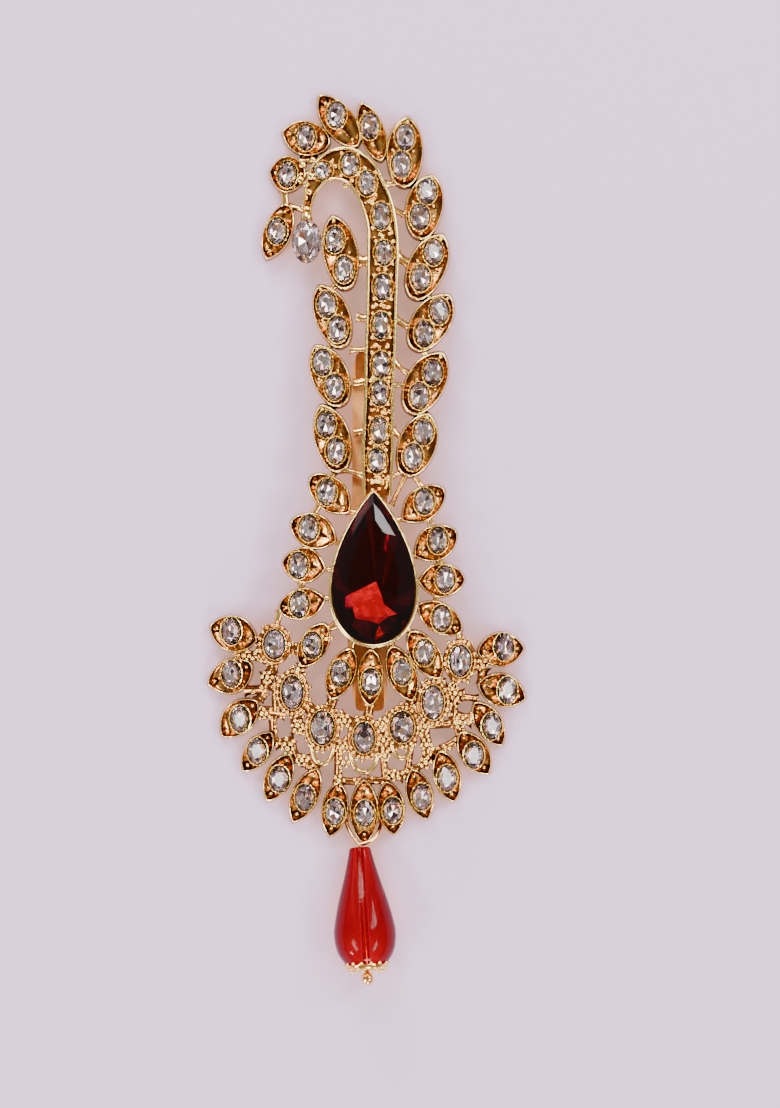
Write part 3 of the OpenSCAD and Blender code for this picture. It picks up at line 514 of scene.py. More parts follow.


# Gold by its wear and painted shade. Columns: wear and shade value, colour.
GOLD_STOPS = [
    (0.0, (0.08, 0.018, 0.007)),
    (0.3, (0.38, 0.15, 0.034)),
    (0.6, (0.98, 0.54, 0.13)),
    (1.0, (1.0, 0.85, 0.28)),
]
BACK_STOPS = [(0.35, (0.92, 0.46, 0.15)), (0.8, (1.0, 0.64, 0.26))]
GOLD = gold_material("cast_gold", GOLD_STOPS, lumps=0.12)
GRAIN_GOLD = gold_material("grain_gold", GOLD_STOPS, lumps=0.1)
BACK_GOLD = gold_material("pin_gold", BACK_STOPS, lumps=0.3, uses_wear_and_shade=False, roughness=0.8)
BALL_GOLD = gold_material("ball_gold", BACK_STOPS, lumps=0.1, uses_wear_and_shade=False)
CLEAR = glass_material("clear_glass", (1.0, 1.0, 1.0), 1.55)
# Foils of the clear stones, one foil in lit and shaded copies: bright, painted half shade, painted shade
# and a painted reflection of the gold
CLEAR_FOILS = [
    foil_material("foil_bright", (1.0, 0.87, 0.86)),
    foil_material("foil_painted_half_shade", (0.92, 0.68, 0.64)),
    foil_material("foil_shade", (0.16, 0.08, 0.07)),
    foil_material("foil_painted_gold_reflection", (1.0, 0.64, 0.38)),
]
RED = glass_material("red_glass", (0.96, 0.003, 0.1), 1.36)
# Foils of the red stone: a painted bright window, painted half shade and painted shade
RED_FOILS = [
    foil_material("red_foil_painted_window_light", (1.0, 0.01, 0.12)),
    foil_material("red_foil_painted_half_shade", (0.11, 0.005, 0.03)),
    foil_material("red_foil_shade", (0.03, 0.003, 0.01)),
]
# The bead's glass by its wear and shade value, which on the bead is only painted light and shade
BEAD_STOPS = [(0.0, (0.09, 0.0003, 0.005)), (1.0, (1.0, 0.003, 0.03))]


def bead_material():
    """Red glass with painted light: a painted highlight along its top, painted shade at its sides and
    below, where the value is low.
    """
    material, tree, shader = new_material("bead_glass")
    tree.links.new(ramp(tree, wear_value(tree), BEAD_STOPS), shader.inputs["Base Color"])
    settings(shader, {"Transmission Weight": 0.95, "IOR": 1.18, "Roughness": 0.1})
    return material


BEAD_GLASS = bead_material()


# Leaf cups

LEAF_POINTS = 48
# Outer wall and rim of a leaf cup. Columns: share of the outline, height, wear and shade value, with
# painted shade at the foot.
CUP_ROWS = [
    [0.93, 0.02, 0.1], [1.045, 0.02, 0.05], [1.05, 0.1, 0.05], [1.04, 0.5, 0.05], [1.02, 1, 0.1],
    [1, 1.3, 0.2], [0.988, 1.42, 0.8], [0.975, 1.49, 1], [0.96, 1.51, 1], [0.945, 1.49, 1],
    [0.93, 1.42, 0.8], [0.92, 1.28, 0.25],
]
# Inner walls down to the valley. Columns: share of the way to the axis, share of the depth, wear and shade
# value, with painted shade in the valley.
VALLEY_ROWS = [
    [0.05, 0.14, 0.08], [0.2, 0.36, 0.2], [0.35, 0.52, 0.38], [0.52, 0.68, 0.5], [0.8, 0.88, 0.35],
    [1, 1, 0.03],
]
# Height of the valley's line, and its ends as shares of the leaf's axis
VALLEY_H = 0.42
VALLEY_SPAN = (0.1, 0.9)
# Hollow underside of a cup. Columns: share of the outline, height, wear and shade value.
UNDER_ROWS = [[0.93, 0.02, 0.2], [0.86, 0.15, 0.3], [0.4, 0.25, 0.4]]


def leaf_outline(row, ends):
    """Points round a leaf in plan, from its root along the right side to the tip and back."""
    root, axis, _, left = span(*row[:4])
    out = []
    for c, s in circle(LEAF_POINTS):
        share = (1 - c) / 2
        side = abs(s) ** (ends[0] + (ends[1] - ends[0]) * share)
        out.append(root + axis * share + left * side * (-row[5] if s > 0 else row[4]))
    return np.array(out)


def leaf_cup(shell, row, ends):
    """A cup with a rounded rim and two polished walls that meet in a valley along its axis."""
    line = leaf_outline(row, ends)
    root, axis, _, _ = span(*row[:4])
    mid = root + axis / 2
    rings = [on_dome(mid + (line - mid) * share, h) for share, h, _ in CUP_ROWS]
    wear = [w for _, _, w in CUP_ROWS]
    inner = mid + (line - mid) * CUP_ROWS[-1][0]
    low, high = VALLEY_SPAN
    along = (1 - circle(LEAF_POINTS)[:, 0]) / 2
    valley = root + np.outer(low + (high - low) * along, axis)
    top = CUP_ROWS[-1][1]
    for share, depth, w in VALLEY_ROWS:
        rings.append(on_dome(inner + (valley - inner) * share, top + (VALLEY_H - top) * depth))
        wear.append(w)
    shell.rings(rings, wear, ends="open")
    under = [on_dome(mid + (line - mid) * share, h)[::-1] for share, h, _ in UNDER_ROWS]
    shell.rings(under, [w for _, _, w in UNDER_ROWS], ends="open")
    shell.faces.append(tuple(range(shell.count - LEAF_POINTS, shell.count)))
    shell.marks.append(0)


# Section of the milgrain ring round a stone. Columns: distance out from the stone, height, wear and shade
# value, with painted shade at its feet.
RING_ROWS = [
    [0.02, 0.4, 0.1], [0.04, 1.15, 0.3], [0.1, 1.34, 0.9], [0.2, 1.42, 1], [0.31, 1.34, 0.9],
    [0.38, 1, 0.35], [0.42, 0.4, 0.1],
]
RING_BEADS = 20
POINTS_PER_BEAD = 4
# How far the ring's beads stand up and out, and the height from which they stand up
RING_BEAD_UP = 0.05
RING_BEAD_OUT = 0.03
RING_BEAD_FROM = 1.2


def stone_ring(shell, c, size):
    """A beaded ring round a stone, on the plane that touches the dome at c."""
    around = circle(RING_BEADS * POINTS_PER_BEAD)
    bead = np.tile(circle(POINTS_PER_BEAD)[:, 0], RING_BEADS)
    rings = []
    for grow, h, _ in RING_ROWS:
        up = bead * (RING_BEAD_UP if h > RING_BEAD_FROM else 0.0)
        out = np.array(size) / 2 + grow + (bead * RING_BEAD_OUT)[:, None]
        rings.append(on_plane(c, c + around * out, h + up))
    shell.rings(rings, [w for _, _, w in RING_ROWS], ends="loop")


# Grip beads on a leaf's axis. Columns: share of the axis, height, least radius, greatest radius.
ONE_STONE_GRIPS = [[0.84, 0.95, 0.22, 0.3], [0.14, 0.95, 0.2, 0.28]]
TWO_STONE_GRIPS = [[0.93, 1.15, 0.24, 0.32], [0.1, 1.0, 0.2, 0.28]]
# Grip beads beside a pair of stones
SIDE_GRIP_OUT = 1.45
SIDE_GRIP_H = 1.05
SIDE_GRIP_RADII = (0.18, 0.26)


def grip_beads(shell, row):
    """Bright cast beads in the corners of a leaf, and beside the pair where a leaf has two stones."""
    root, axis, _, left = span(*row[:4])
    for share, h, low, high in TWO_STONE_GRIPS if len(row) > 8 else ONE_STONE_GRIPS:
        shell.ball(on_dome(root + axis * share, h), rng.uniform(low, high), 1.0)
    if len(row) > 8:
        middle = (np.array(row[6:8]) + np.array(row[8:10])) / 2
        for out in (-SIDE_GRIP_OUT, SIDE_GRIP_OUT):
            place = on_dome(middle + left * out, SIDE_GRIP_H)
            shell.ball(place, draw(SIDE_GRIP_RADII), wear=0.9)


def stones_of(rows):
    """Place and size of each stone in a table of leaves."""
    return [(row[i : i + 2], (STONE_W, STONE_L)) for row in rows for i in range(6, len(row), 2)]


# Stones

# Star facets round a clear stone's table
STONE_STARS = 8
# Rings of a clear stone, from its table down. Columns: share of its outline, share of its height,
# points for each star, turn in steps.
STONE_RINGS = [
    [0.56, 1, 1, 0.5], [0.8, 0.8, 1, 0], [1, 0.5, 2, 0], [0.98, 0.42, 2, 0], [0.52, 0.14, 1, 0.5],
]
CULET_H = 0.02
STONE_RISE = 1.25
COLLAR_RISE = 1.45
DROP_RISE = 2.2
# How often a foiled facet takes each foil: bright, painted half shade, painted shade or painted gold
# reflection
FOIL_MIX = [1] * 9 + [2] * 2 + [3] * 2 + [4] * 3


def oval(c, size, n, turn=0.0):
    """Points round an oval in plan."""
    return c + circle(n, turn) * size / 2


def crown_faces(n, split_kites):
    """Faces of a crown with n stars: its table, stars, kites and girdle facets, and the girdle's side.
    Its points are n round the table, n below the stars, and 2n on either edge of the girdle."""
    kite, girdle, lower = n, 2 * n, 4 * n
    faces = [tuple(range(n))]
    for i in range(n):
        j = (i + 1) % n
        middle = girdle + 2 * i + 1
        faces.append((kite + j, j, i))
        faces.append((kite + i, middle - 1, middle))
        if split_kites:
            faces.append((kite + i, middle, i))
            faces.append((i, middle, kite + j))
        else:
            faces.append((kite + i, middle, kite + j, i))
        faces.append((middle, girdle + 2 * j, kite + j))
    for i in range(2 * n):
        j = (i + 1) % (2 * n)
        faces.append((girdle + i, lower + i, lower + j, girdle + j))
    return faces


def brilliant(c, size, rise):
    """An oval brilliant: its points, its clear faces and its foiled facets."""
    n = STONE_STARS
    size = np.array(size, float)
    rings = []
    for share, lift, count, turn in STONE_RINGS:
        rings.append(on_plane(c, oval(c, size * share, count * n, turn), STONE_FOOT + lift * rise))
    points = np.vstack(rings + [on_plane(c, np.array([c]), STONE_FOOT + CULET_H)])
    lower, deep, culet = 4 * n, 6 * n, 7 * n
    foil = []
    for i in range(n):
        j = (i + 1) % n
        middle = lower + 2 * i + 1
        foil.append((middle, middle - 1, deep + i))
        foil.append((lower + 2 * j, middle, deep + i))
        foil.append((deep + i, deep + j, lower + 2 * j))
        foil.append((deep + j, deep + i, culet))
    return points, crown_faces(n, split_kites=True), foil


def brilliants(shell, stones, rise):
    """Clear stones. Each has a place in plan and a size."""
    for c, size in stones:
        points, crown, foil = brilliant(c, size, rise)
        # Each foiled facet takes at random a bright foil or a foil painted shaded or gold-reflecting
        marks = [rng.choice(FOIL_MIX) for _ in foil]
        shell.cut_stone(points, crown, foil, marks)


def stone_piece(name, stones, node, rise=STONE_RISE):
    """Clear stones of one node."""
    make_piece(name, brilliants, [CLEAR] + CLEAR_FOILS, [node], "clear_glass", 0, stones, rise)


def leaf_cups(shell, rows, ends):
    for row in rows:
        leaf_cup(shell, row, ends)
        grip_beads(shell, row)


def setting_rings(shell):
    """The beaded rings that hold the small stones."""
    for _, _, rows, _ in LEAF_GROUPS:
        for c, size in stones_of(rows):
            stone_ring(shell, c, size)
    for x, y, l in STEM_SEATS:
        stone_ring(shell, (x, y), (STONE_W, l))


stone_piece("stem_brilliants", [((x, y), (STONE_W, l)) for x, y, l in STEM_SEATS], "stem_stones")
for _, group, rows, _ in LEAF_GROUPS:
    stone_piece(group + "_brilliants", stones_of(rows), group + "_stones")
for i, (x, y, w, l) in enumerate(COLLAR_ROWS):
    stone_piece(f"collar_brilliant_{i + 1}", [((x, y), (w, l))], f"collar_stone_{i + 1}", COLLAR_RISE)
stone_piece("crest_drop_brilliant", [(CREST_DROP_AT, CREST_DROP_SIZE)], "crest_drop_stone", DROP_RISE)
for name, _, rows, ends in LEAF_GROUPS:
    cast_piece(name, leaf_cups, GOLD, CUP_CREASE, rows, ends)
cast_piece("setting_rings", setting_rings, GOLD, WALL_CREASE)


# Stem


def smooth_rows(rows, steps):
    """Catmull-Rom through the rows of a table, steps to a gap."""
    rows = np.asarray(rows, float)
    pad = np.vstack([2 * rows[0] - rows[1], rows, 2 * rows[-1] - rows[-2]])
    out = []
    for i in range(1, len(pad) - 2):
        p0, p1, p2, p3 = pad[i - 1 : i + 3]
        for s in range(steps):
            t = s / steps
            out.append(
                0.5 * (2 * p1 + (p2 - p0) * t + (2 * p0 - 5 * p1 + 4 * p2 - p3) * t**2
                       + (3 * p1 - p0 - 3 * p2 + p3) * t**3)
            )
    out.append(rows[-1])
    return np.array(out)


# Half section of the channel. Columns: distance in from the wall's outside, height, wear and shade value,
# with painted shade at the feet of the walls.
CHANNEL_ROWS = [
    [0, 0.02, 0.1], [0, 0.9, 0.35], [0, 1.55, 0.7], [0.05, 1.73, 1], [0.15, 1.8, 1], [0.3, 1.8, 1],
    [0.41, 1.72, 1], [0.46, 1.5, 0.6], [0.5, 1.05, 0.1], [0.62, 0.78, 0.12], [0.9, 0.74, 0.34],
]
STEM_STEPS = 8
# A narrower channel has a smaller section
CHANNEL_FULL_W = 2.2


def stem_channel(shell):
    """The trough of the stem: its section swept from the foot to the curl."""
    rings = []
    for row in smooth_rows(STEM_ROWS, STEM_STEPS):
        left, right = row[:2], row[2:]
        width = np.linalg.norm(right - left)
        way = (right - left) / width * min(1.0, width / CHANNEL_FULL_W)
        ring = [on_dome(left + way * inward, h) for inward, h, _ in CHANNEL_ROWS]
        ring += [on_dome(right - way * inward, h) for inward, h, _ in CHANNEL_ROWS[::-1]]
        rings.append(ring)
    shell.rings(rings, section=[w for _, _, w in CHANNEL_ROWS + CHANNEL_ROWS[::-1]])


cast_piece("stem_channel", stem_channel, GOLD, WALL_CREASE)


# Bezel and red stone

# Power that pinches the pear at its point, and the half width that this gives at its widest
PEAR_PINCH = 0.8
PEAR_PEAK = 0.803
BEZEL_POINTS = 96
# Section of the bezel. Columns: distance out from the stone, height over the dome, wear and shade value,
# with painted shade low down.
BEZEL_ROWS = [
    [0.56, -0.85, 0.2], [0.56, 0.6, 0.4], [0.56, 1.6, 0.8], [0.5, 1.98, 1], [0.38, 2.1, 1], [0.22, 2.1, 1],
    [0.12, 2.05, 0.9], [0.11, 1.2, 0.4], [0.1, 0.72, 0.2],
]
PEAR_STARS = 12
# Rings of the red stone, from its table down. Columns: share of its width, share of its length, height
# over the bezel, points for each star, turn in steps.
PEAR_RINGS = [
    [0.62, 0.66, 1.2, 1, 0.5], [0.84, 0.86, 0.8, 1, 0], [1, 1, 0.1, 2, 0], [1, 1, -0.15, 2, 0],
]
# Outline of the stone's lowest facet, the window that shines red, painted bright by its foil. Columns: x,
# y.
PEAR_KEEL = [
    [-2.2, -7.8], [-1.9, -9.6], [-1.5, -11.2], [0.2, -11.4], [1.6, -11.9], [2.9, -10.9], [4.3, -10.5],
    [3.9, -9.6], [2.4, -9.3], [2, -7.9], [1.3, -6.1],
]
# Middle of that facet, its height over the stone's foot where y is KEEL_FOOT, and its slope along Y
PEAR_HEART = (1.0, -9.2)
KEEL_H = 0.06
KEEL_FOOT = -12.0
KEEL_SLOPE = 0.2
# How often a side of the pavilion takes each foil, painted half shade or painted shade
RED_FOIL_MIX = [2, 3, 3, 3]


def pear(w, l, n, turn=0.0):
    """Points round a pear in plan, from its point down the left side and back up."""
    a = 2 * math.pi * (np.arange(n) + turn) / n
    half = np.sin(a) * np.abs(np.sin(a / 2)) ** PEAR_PINCH / PEAR_PEAK
    return np.stack([PEAR_AT[0] - w / 2 * half, PEAR_AT[1] + l / 2 * np.cos(a)], axis=-1)


def pear_bezel(shell):
    rings = []
    for grow, h, _ in BEZEL_ROWS:
        rings.append(level(pear(PEAR_W + 2 * grow, PEAR_L + 2 * grow, BEZEL_POINTS), DOME_H + h))
    shell.rings(rings, [w for _, _, w in BEZEL_ROWS])


def zipped(outer, inner, centre):
    """Triangles between two rings of points that both go round centre anticlockwise."""
    steps, at = [], []
    for side, ring in enumerate((outer, inner)):
        first = side * len(outer)
        angles = np.arctan2(ring[:, 1] - centre[1], ring[:, 0] - centre[0])
        start = int(np.argmin(angles))
        at.append(first + start)
        angles[start] += 2 * math.pi
        steps += [(angle, side, first + i) for i, angle in enumerate(angles)]
    found = []
    for _, side, point in sorted(steps):
        found.append((at[0], point, at[1]))
        at[side] = point
    return found


def pear_brilliant(shell):
    """The red stone: a faceted crown, and a pavilion that ends in one sloping facet."""
    n = PEAR_STARS
    rings = []
    for share_w, share_l, h, count, turn in PEAR_RINGS:
        outline = pear(PEAR_W * share_w, PEAR_L * share_l, count * n, turn)
        rings.append(level(outline, DOME_H + BEZEL_H + h))
    foot = DOME_H + STONE_FOOT + KEEL_H
    keel = np.array([[x, y, foot + KEEL_SLOPE * (y - KEEL_FOOT)] for x, y in PEAR_KEEL])
    lower = 4 * n
    sides = [tuple(lower + v for v in face) for face in zipped(rings[-1], keel, PEAR_HEART)]
    window = tuple(lower + 2 * n + v for v in range(len(keel)))
    # The sloping window takes the painted bright foil, each other side a painted shaded one
    marks = [rng.choice(RED_FOIL_MIX) for _ in sides] + [1]
    crown = crown_faces(n, split_kites=False)
    shell.cut_stone(np.vstack(rings + [keel]), crown, sides + [window], marks)


cast_piece("pear_bezel", pear_bezel, GOLD, WALL_CREASE)
make_piece("red_pear_stone", pear_brilliant, [RED] + RED_FOILS, ["red_stone"], "red_glass", 0)


# Collars, web, grains and loops

COLLAR_POINTS = 48
# Section of a collar. Columns: distance out from the stone, height, wear and shade value, with painted
# shade at its foot and inner edge.
COLLAR_LEVELS = [
    [0.96, 0.02, 0.1], [1, 0.4, 0.15], [0.96, 0.85, 0.25], [0.85, 1.05, 0.35], [0.7, 1.12, 0.35],
    [0.5, 1.1, 0.25], [0.35, 1, 0.15], [0.14, 0.9, 0.1], [0.12, 0.72, 0.1],
]


def collars(shell):
    for x, y, w, l in COLLAR_ROWS:
        c = (x, y)
        rings = []
        for grow, h, _ in COLLAR_LEVELS:
            rings.append(on_plane(c, oval(c, (w + 2 * grow, l + 2 * grow), COLLAR_POINTS), h))
        shell.rings(rings, [v for _, _, v in COLLAR_LEVELS])
        stone_ring(shell, c, (w, l))


BAR_POINTS = 10
BAR_STEPS = 7
BAR_FOOT_H = 0.04
BAR_CROWN = 0.05
BAR_ROUNDNESS = 0.8
# Width of a bar's middle, flare of its ends and its greatest bow, as shares of its row's width
BAR_WAIST = 0.85
BAR_FLARE = 0.5
BAR_BOW = 0.12
BAR_WIDTHS = (0.93, 1.07)
BAR_HEIGHTS = (0.92, 1.06)
# Wear and painted shade at a bar's foot, and how much more its back takes on a tie and on the fan, a
# painted highlight along the top
BAR_FOOT_WEAR_AND_SHADE = 0.12
TIE_TOP_WEAR_AND_LIGHT = 0.7
FAN_TOP_WEAR_AND_LIGHT = 0.18


def web_bars(shell):
    """The bars of the web, rounded and a little uneven."""
    bars = [(row, TIE_TOP_WEAR_AND_LIGHT) for row in STEM_TIES + HALO_TIES] + [(row, FAN_TOP_WEAR_AND_LIGHT) for row in FAN_BARS]
    sweep = math.pi * np.arange(BAR_POINTS) / (BAR_POINTS - 1)
    for (*ends, w), wear in bars:
        start, way, _, left = span(*ends)
        bow = rng.uniform(-BAR_BOW, BAR_BOW) * w
        rings = []
        for t in np.linspace(0.0, 1.0, BAR_STEPS):
            half = w / 2 * (BAR_WAIST + BAR_FLARE * (2 * t - 1) ** 4) * draw(BAR_WIDTHS)
            top = (BAR_H + BAR_CROWN) * draw(BAR_HEIGHTS)
            middle = start + way * t + left * bow * math.sin(math.pi * t)
            line = middle + np.outer(np.cos(sweep) * half, left)
            rings.append(on_dome(line, BAR_FOOT_H + (top - BAR_FOOT_H) * np.sin(sweep) ** BAR_ROUNDNESS))
        # Painted light: each bar is lighter along its top and in painted shade at its foot
        shell.rings(rings, section=BAR_FOOT_WEAR_AND_SHADE + wear * np.sin(sweep))


# Kinds of grain. Each has the range of its radius and the range of its wear.
BAR_GRAIN = ((0.26, 0.42), (0.45, 1.0))
COLLAR_GRAIN = ((0.26, 0.36), (0.5, 1.0))
CORNER_GRAIN = ((0.26, 0.36), (0.7, 1.0))
CHANNEL_GRAIN = ((0.22, 0.44), (0.5, 1.0))
FOOT_GRAIN = ((0.26, 0.48), (0.5, 1.0))


def grain(shell, place, h, kind):
    radii, wears = kind
    shell.ball(on_dome(place, h), draw(radii), draw(wears))


GRAIN_PITCH = 0.82
BARE_SHARE = 0.3
# Shifts of a grain along its bar or round its collar, in steps, and to either side
BAR_SLIPS = (0.1, 0.5)
COLLAR_SLIPS = (-0.15, 0.15)
GRAIN_ASIDE = 0.08
# Height of the grains at a bar's edges, and how much higher its middle ones are
GRAIN_EDGE_H = 0.35
GRAIN_BULGE_H = 0.35
# Rows of grains round a collar. Columns: distance out from the stone, height, share of places filled.
COLLAR_GRAIN_ROWS = [[0.72, 1.15, 0.9], [1.15, 0.7, 0.6]]


def web_grains(shell):
    """Granulation: small balls along the fan's bars and round its collars."""
    for *ends, w in FAN_BARS:
        start, way, length, left = span(*ends)
        count = max(2, round(length / GRAIN_PITCH))
        lanes = max(1, round(w / GRAIN_PITCH))
        for lane in range(lanes):
            across = w * ((lane + 0.5) / lanes - 0.5)
            bulge = 1 - (2 * across / w) ** 2
            for step in range(count):
                if rng.random() < BARE_SHARE:
                    continue
                t = (step + 0.5 * (lane % 2) + draw(BAR_SLIPS)) / count
                aside = across + rng.uniform(-GRAIN_ASIDE, GRAIN_ASIDE)
                place = start + way * min(t, 1.0) + left * aside
                grain(shell, place, GRAIN_EDGE_H + GRAIN_BULGE_H * bulge, BAR_GRAIN)
    for x, y, w, l in COLLAR_ROWS:
        for grow, h, share in COLLAR_GRAIN_ROWS:
            count = round(math.pi * ((w + l) / 2 + 2 * grow) / GRAIN_PITCH)
            for step in range(count):
                if rng.random() > share:
                    continue
                turn = (step + draw(COLLAR_SLIPS)) / count
                place = on_circle((x, y), (w / 2 + grow, l / 2 + grow), turn)
                grain(shell, place, h, COLLAR_GRAIN)


# Clusters of grains where the bars of the fan meet. Columns: x, y, number of outer grains.
CLUSTER_ROWS = [
    [-13.9, -19.5, 6], [-14.7, -24.6, 6], [-9.7, -26.2, 6], [-11.1, -29.5, 6], [-9.1, -31.1, 6],
    [-3.4, -29.2, 6], [-3.3, -31.4, 6], [-3.1, -25.5, 6], [2.2, -25.9, 6], [2.3, -28.2, 6],
    [2.5, -30.4, 6], [3.6, -33.2, 5], [8.1, -26.3, 6], [8.3, -28.9, 6], [8.2, -31.4, 5], [12.3, -21.7, 6],
    [13, -25.8, 6], [16.5, -17.2, 6], [-17.2, -16.5, 6], [-5.6, -14.1, 5], [-9.6, -18.4, 5], [10, -20, 5],
    [-3.9, -34, 5],
]
CLUSTER_RADII = (0.32, 0.38)
MIDDLE_GRAIN_H = 1.0
MIDDLE_GRAIN_SIZE = 1.15
OUTER_GRAIN_H = 0.8
OUTER_GRAIN_SLIPS = (-0.1, 0.1)
OUTER_GRAIN_SIZES = (0.85, 1.05)
OUTER_GRAIN_WEARS = (0.75, 1.0)


def grain_clusters(shell):
    """Rosettes of grains, a larger one in the middle of each."""
    for x, y, count in CLUSTER_ROWS:
        size = draw(CLUSTER_RADII)
        shell.ball(on_dome((x, y), MIDDLE_GRAIN_H), size * MIDDLE_GRAIN_SIZE, 1.0)
        for k in range(count):
            turn = (k + draw(OUTER_GRAIN_SLIPS)) / count
            place = on_dome(on_circle((x, y), (2 * size, 2 * size), turn), OUTER_GRAIN_H)
            shell.ball(place, size * draw(OUTER_GRAIN_SIZES), draw(OUTER_GRAIN_WEARS))


# Grains at the corners of a stem stone: how far out to its side, in from its end, and up
CORNER_OUT = (1.15, 1.3)
CORNER_IN = (0.0, 0.25)
CORNER_H = (1.1, 1.25)
# Grains between two stem stones, with their number in a millimetre, and what is added to it
CHANNEL_GAP = 0.55
CHANNEL_SIDES = (-1.4, 1.4)
CHANNEL_H = 0.85
CHANNEL_PER_MM = 10
CHANNEL_MORE = 3
# Grains between the channel's foot and its first stone
FOOT_GRAINS = 22
FOOT_X = (-0.1, 3.1)
FOOT_Y = (6.4, 8.6)
FOOT_H = (0.8, 1.0)


def channel_grains(shell):
    """Small balls that hold the stones of the stem, at the corners of each and between them."""
    for x, y, l in STEM_SEATS:
        for side, end in ((-1, -1), (-1, 1), (1, -1), (1, 1)):
            place = (x + side * draw(CORNER_OUT), y + end * (l / 2 - draw(CORNER_IN)))
            grain(shell, place, draw(CORNER_H), CORNER_GRAIN)
    for (x0, y0, l0), (x1, y1, l1) in zip(STEM_SEATS, STEM_SEATS[1:]):
        start, way, length, left = span(x0, y0, x1, y1)
        room = (l0 / 2 + CHANNEL_GAP, length - l1 / 2 - CHANNEL_GAP)
        for _ in range(max(0, round((room[1] - room[0]) * CHANNEL_PER_MM)) + CHANNEL_MORE):
            place = start + way / length * rng.uniform(min(room), max(room))
            grain(shell, place + left * draw(CHANNEL_SIDES), CHANNEL_H, CHANNEL_GRAIN)
    for _ in range(FOOT_GRAINS):
        place = (draw(FOOT_X), draw(FOOT_Y))
        grain(shell, place, draw(FOOT_H), FOOT_GRAIN)


def tube(shell, path, radius, sides, wear, closed=False):
    """A round wire along a path of points."""
    path = np.asarray(path, float)
    n = len(path)
    rings = []
    for i in range(n):
        ahead = path[(i + 1) % n] - path[i] if closed or i < n - 1 else path[i] - path[i - 1]
        behind = path[i] - path[i - 1] if closed or i > 0 else ahead
        way = ahead / np.linalg.norm(ahead) + behind / np.linalg.norm(behind)
        way /= np.linalg.norm(way)
        across = np.cross(way, [0, 0, 1])
        across /= np.linalg.norm(across)
        rings.append(path[i] + radius * circle(sides) @ [across, np.cross(across, way)])
    shell.rings(rings, wear, ends="loop" if closed else "cap")


LOOP_POINTS = 25
LOOP_H = 0.5


def wire_loops(shell):
    angles = np.linspace(math.pi, 2 * math.pi, LOOP_POINTS)
    for x, y, half, depth in LOOP_ROWS:
        line = np.stack([x + half * np.cos(angles), y + depth * np.sin(angles)], axis=-1)
        tube(shell, on_dome(line, LOOP_H), radius=0.36, sides=10, wear=0.8)


cast_piece("collar_cups", collars, GOLD, WALL_CREASE)
cast_piece("web_bars", web_bars, GRAIN_GOLD, GRAIN_CREASE)
cast_piece("granulation", web_grains, GRAIN_GOLD, GRAIN_CREASE)
cast_piece("grain_clusters", grain_clusters, GRAIN_GOLD, GRAIN_CREASE)
cast_piece("stem_grains", channel_grains, GRAIN_GOLD, GRAIN_CREASE)
cast_piece("wire_loops", wire_loops, GRAIN_GOLD, GRAIN_CREASE)


# Crest cap and cup, pads and eye

# Cap over the crest's drop stone, down along Y. Columns: y, radius, wear and shade value, with painted
# shade in its grooves.
CAP_ROWS = [
    [46.3, 0.42, 0.6], [46, 0.6, 1], [45.7, 0.5, 0.3], [45.4, 0.72, 0.9], [45, 0.86, 1], [44.6, 0.88, 0.8],
    [44.3, 0.8, 0.4],
]
CAP_POINTS = 20
CAP_AXIS_H = 0.95
# Levels of the cup under the stone. Columns: share of the stone's outline, height, wear and shade value,
# with painted shade low down.
CUP_LEVELS = [
    [0.6, 0.2, 0.2], [0.98, 1.45, 0.6], [0.97, 1.5, 1], [0.86, 1.5, 0.9], [0.84, 1.45, 0.5],
    [0.52, 0.72, 0.2],
]
CUP_POINTS = 40
# Lumps of metal at the curl's end. Columns: x, y, height of the middle, radius.
CURL_LUMPS = [
    [-7.9, 50.6, 1.35, 0.62], [-8.5, 49.4, 1.2, 0.55], [-9.3, 50.1, 0.9, 0.6], [-9, 52.2, 0.9, 0.6],
    [-7.6, 52.9, 1, 0.5], [-10.2, 48.9, 0.8, 0.5], [-8.6, 47.5, 1.2, 0.45], [-8.1, 48.3, 1.3, 0.5],
    [-8.9, 46.2, 1.2, 0.42], [-3, 49.2, 0.9, 0.42],
]


def crest_cap(shell):
    c = CREST_DROP_AT
    around = circle(CAP_POINTS) * (1, -1)
    rings = []
    for y, r, _ in CAP_ROWS:
        middle = (c[0], float(dome(c[0], y)) + CAP_AXIS_H)
        rings.append(np.insert(middle + around * r, 1, y, axis=1))
    shell.rings(rings, [w for _, _, w in CAP_ROWS])
    for x, y, h, r in CURL_LUMPS:
        shell.ball(on_dome((x, y), h), r, wear=0.9, squash=0.7)
    rings = []
    for share, h, _ in CUP_LEVELS:
        rings.append(on_plane(c, oval(c, np.array(CREST_DROP_SIZE) * share, CUP_POINTS), h))
    shell.rings(rings, [w for _, _, w in CUP_LEVELS])


# Pads on the back, rounded squares. Columns: y, thickness.
PAD_ROWS = [[23.8, 0.55], [-22.2, 0.9]]
PAD_X = 0.4
PAD_HALF = 2.0
PAD_BEVEL = 0.15
PAD_POINTS = 32
# Roundness of a pad's corners, where 1 is a circle, and the height of its lower side
PAD_POWER = 0.35
PAD_FOOT = 4.05
# The eye behind the lowest leaf
EYE_AT = (-0.4, -38.4, 0.87)
EYE_R = 0.65
EYE_WIRE_R = 0.2
EYE_POINTS = 20
EYE_SIDES = 8


